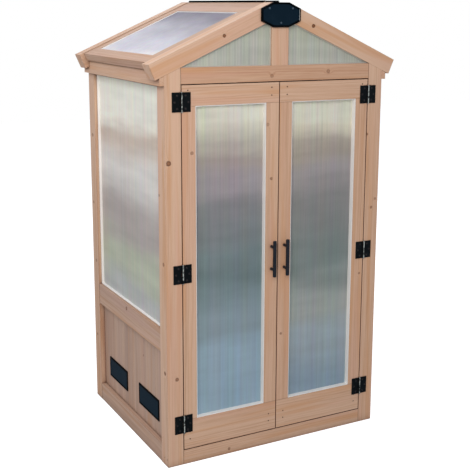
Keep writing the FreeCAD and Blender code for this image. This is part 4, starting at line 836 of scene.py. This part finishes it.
def domed_head(shape, x, face_y, z, turn):
    """Adds a domed head with a cross recess that stands out towards -Y; turn spins the cross."""
    grid = {}
    for row, v in enumerate(LATTICE):
        for column, u in enumerate(LATTICE):
            disc_u, disc_v = u * math.sqrt(1 - v * v / 2), v * math.sqrt(1 - u * u / 2)
            rise = HEAD_RISE * (1 - disc_u ** 2 - disc_v ** 2)
            narrow, wide = sorted((abs(u), abs(v)))
            if narrow < CROSS_WIDTH and wide < CROSS_REACH:
                rise = min(rise, HEAD_RISE - CROSS_DEPTH)
            across = HEAD_RADIUS * (disc_u * math.cos(turn) - disc_v * math.sin(turn))
            up = HEAD_RADIUS * (disc_u * math.sin(turn) + disc_v * math.cos(turn))
            grid[row, column] = shape.verts.new((x + across, face_y - rise, z + up))
    last = len(LATTICE) - 1
    for row in range(last):
        for column in range(last):
            shape.faces.new([grid[row, column], grid[row, column + 1],
                             grid[row + 1, column + 1], grid[row + 1, column]])
    rim = ([(0, c) for c in range(last)] + [(r, last) for r in range(last)]
           + [(last, last - c) for c in range(last)] + [(last - r, 0) for r in range(last)])
    foot = [shape.verts.new(grid[place].co + Vector((0, HEAD_SKIRT, 0))) for place in rim]
    for index, place in enumerate(rim):
        following = (index + 1) % len(rim)
        shape.faces.new([grid[place], foot[index], foot[following], grid[rim[following]]])
    shape.faces.new(foot)


def screw_heads(name, places, face_y, material, body, seed):
    """One piece that holds several heads, each with its cross at another angle."""
    shape = bmesh.new()
    chance = random.Random(seed)
    for x, z in places:
        domed_head(shape, x, face_y, z, chance.uniform(0, math.pi / 2))
    print(name, len(places), "heads")
    piece = finish_mesh(name, shape, material, body)
    for face in piece.data.polygons:
        face.use_smooth = True


# %% [markdown]
# Each hinge leaf has three screws, two beside the knuckles and one further out. The heads on a
# door ride with that door, the heads on the posts and the plate stay with the frame.

# %% Place the screw heads
LEAF_FACE_Y = -0.329
HINGE_HEIGHTS = (0.140, 0.644, 1.185)
LEAF_SCREWS = ((0.014, -0.020), (0.023, 0.0), (0.014, 0.020))
PLATE_SCREWS = ((-0.042, 1.467), (0.042, 1.467), (0.0, 1.422))


def leaf_places(side, outward):
    """Where the screws of one row of leaves are; side is -1 on the left, outward 1 on the post."""
    return [(side * (HINGE_X + outward * away), height + up)
            for height in HINGE_HEIGHTS for away, up in LEAF_SCREWS]


browned_dark = plated_steel("browned_screw", srgb(56, 52, 54), srgb(36, 32, 32))
blued = plated_steel("blued_screw", srgb(84, 98, 112), srgb(46, 58, 68))
screw_heads("hinge_screw_heads_on_posts", leaf_places(-1, 1) + leaf_places(1, 1), LEAF_FACE_Y,
            browned_dark, "frame", 61)
screw_heads("left_door_hinge_screw_heads", leaf_places(-1, -1), LEAF_FACE_Y, browned_dark,
            "left_door", 62)
screw_heads("right_door_hinge_screw_heads", leaf_places(1, -1), LEAF_FACE_Y, browned_dark,
            "right_door", 63)
screw_heads("gable_plate_screw_heads", PLATE_SCREWS, PLATE_FACE_Y, blued, "frame", 64)

# %% [markdown]
# ## Floor
# The greenhouse stands on plain pale ground that keeps its soft shadow. Where the camera looks
# at it, a little light is added, so that it ends up as white as the sky. The ground inside the
# cabinet gets none, so it looks shaded through an open door.

# %% Floor
FLOOR_HALF = 9.0
FLOOR_LIFT = 0.84
INSIDE_HALF_WIDTH, INSIDE_HALF_DEPTH, MIDDLE_Y = 0.385, 0.327, 0.015
floor_mesh = bpy.data.meshes.new("floor")
corners = [(-FLOOR_HALF, -FLOOR_HALF, 0), (FLOOR_HALF, -FLOOR_HALF, 0),
           (FLOOR_HALF, FLOOR_HALF, 0), (-FLOOR_HALF, FLOOR_HALF, 0)]
floor_mesh.from_pydata(corners, [], [(0, 1, 2, 3)])
floor = bpy.data.objects.new("floor", floor_mesh)
bpy.context.scene.collection.objects.link(floor)
floor_material, tree, shader, place = new_material("pale_floor")
pale = mix_colour(tree, mottle(tree, place, 3.0), srgb(188, 188, 188), srgb(182, 182, 182))
set_shader(tree, shader, base_color=pale, roughness=0.9, specular_ior_level=0.1)
seen = add(tree, "ShaderNodeLightPath").outputs["Is Camera Ray"]
floor_x, floor_y, _ = split(tree, place)
within_x = calc(tree, "LESS_THAN", calc(tree, "ABSOLUTE", floor_x), INSIDE_HALF_WIDTH)
within_y = calc(tree, "LESS_THAN", calc(tree, "ABSOLUTE", calc(tree, "SUBTRACT", floor_y, MIDDLE_Y)),
                INSIDE_HALF_DEPTH)
outside = calc(tree, "SUBTRACT", 1.0, calc(tree, "MULTIPLY", within_x, within_y))
amount = calc(tree, "MULTIPLY", calc(tree, "MULTIPLY", seen, FLOOR_LIFT), outside)
lift = add(tree, "ShaderNodeEmission", {"Color": (1, 1, 1, 1), "Strength": amount})
both = add(tree, "ShaderNodeAddShader", {0: shader.outputs[0], 1: lift.outputs[0]})
tree.links.new(both.outputs[0], tree.nodes["Material Output"].inputs["Surface"])
floor_mesh.materials.append(floor_material)

# %% [markdown]
# ## Sky
# The world is white where the camera, a reflection or a pane looks at it. As a light it is
# dimmer and slightly blue, so that the lamps shape the wood and the shadows stay cool.

# %% World
WORLD_LIGHT = 0.42
SKY_TINT = (0.86, 0.95, 1.12, 1)
world = bpy.data.worlds.new("studio")
bpy.context.scene.world = world
world.use_nodes = True
tree = world.node_tree
path = add(tree, "ShaderNodeLightPath")
looked_at = calc(tree, "MAXIMUM", path.outputs["Is Camera Ray"],
                 calc(tree, "MAXIMUM", path.outputs["Is Glossy Ray"], path.outputs["Is Transmission Ray"]))
strength = calc(tree, "MULTIPLY_ADD", looked_at, 1.0 - WORLD_LIGHT, WORLD_LIGHT)
background = tree.nodes["Background"]
tree.links.new(mix_colour(tree, looked_at, SKY_TINT, (1, 1, 1, 1)), background.inputs["Color"])
tree.links.new(strength, background.inputs["Strength"])

# %% [markdown]
# ## Lamps
# Large square lamps give soft shadows. The main one is warm and stands at the front left, above
# the doors. A cool one lights the left wall, two weaker ones fill in the roof and the right
# side, and one behind keeps the rear from going dark and shines through the panes.

# %% Lamps


def soft_lamp(name, place, target, size, power, colour=(1.0, 1.0, 1.0)):
    """A square lamp at place that shines at target."""
    data = bpy.data.lights.new(name, "AREA")
    data.size = size
    data.energy = power
    data.color = colour
    lamp = bpy.data.objects.new(name, data)
    lamp.location = place
    lamp.rotation_euler = (Vector(target) - Vector(place)).to_track_quat("-Z", "Y").to_euler()
    bpy.context.scene.collection.objects.link(lamp)


soft_lamp("front_lamp", (-1.6, -2.8, 2.2), (0, 0, 0.9), 1.7, 62, (1.0, 0.975, 0.945))
soft_lamp("left_lamp", (-2.4, 0.2, 2.6), (-0.3, 0, 1.2), 1.4, 20, (0.84, 0.94, 1.08))
soft_lamp("top_lamp", (-0.6, 0.4, 4.2), (0, 0, 0.8), 2.6, 14)
soft_lamp("rear_lamp", (1.6, 3.8, 2.6), (0, 0, 0.8), 2.2, 50)
soft_lamp("right_lamp", (3.4, 1.0, 2.2), (0.2, 0, 0.8), 1.8, 30)
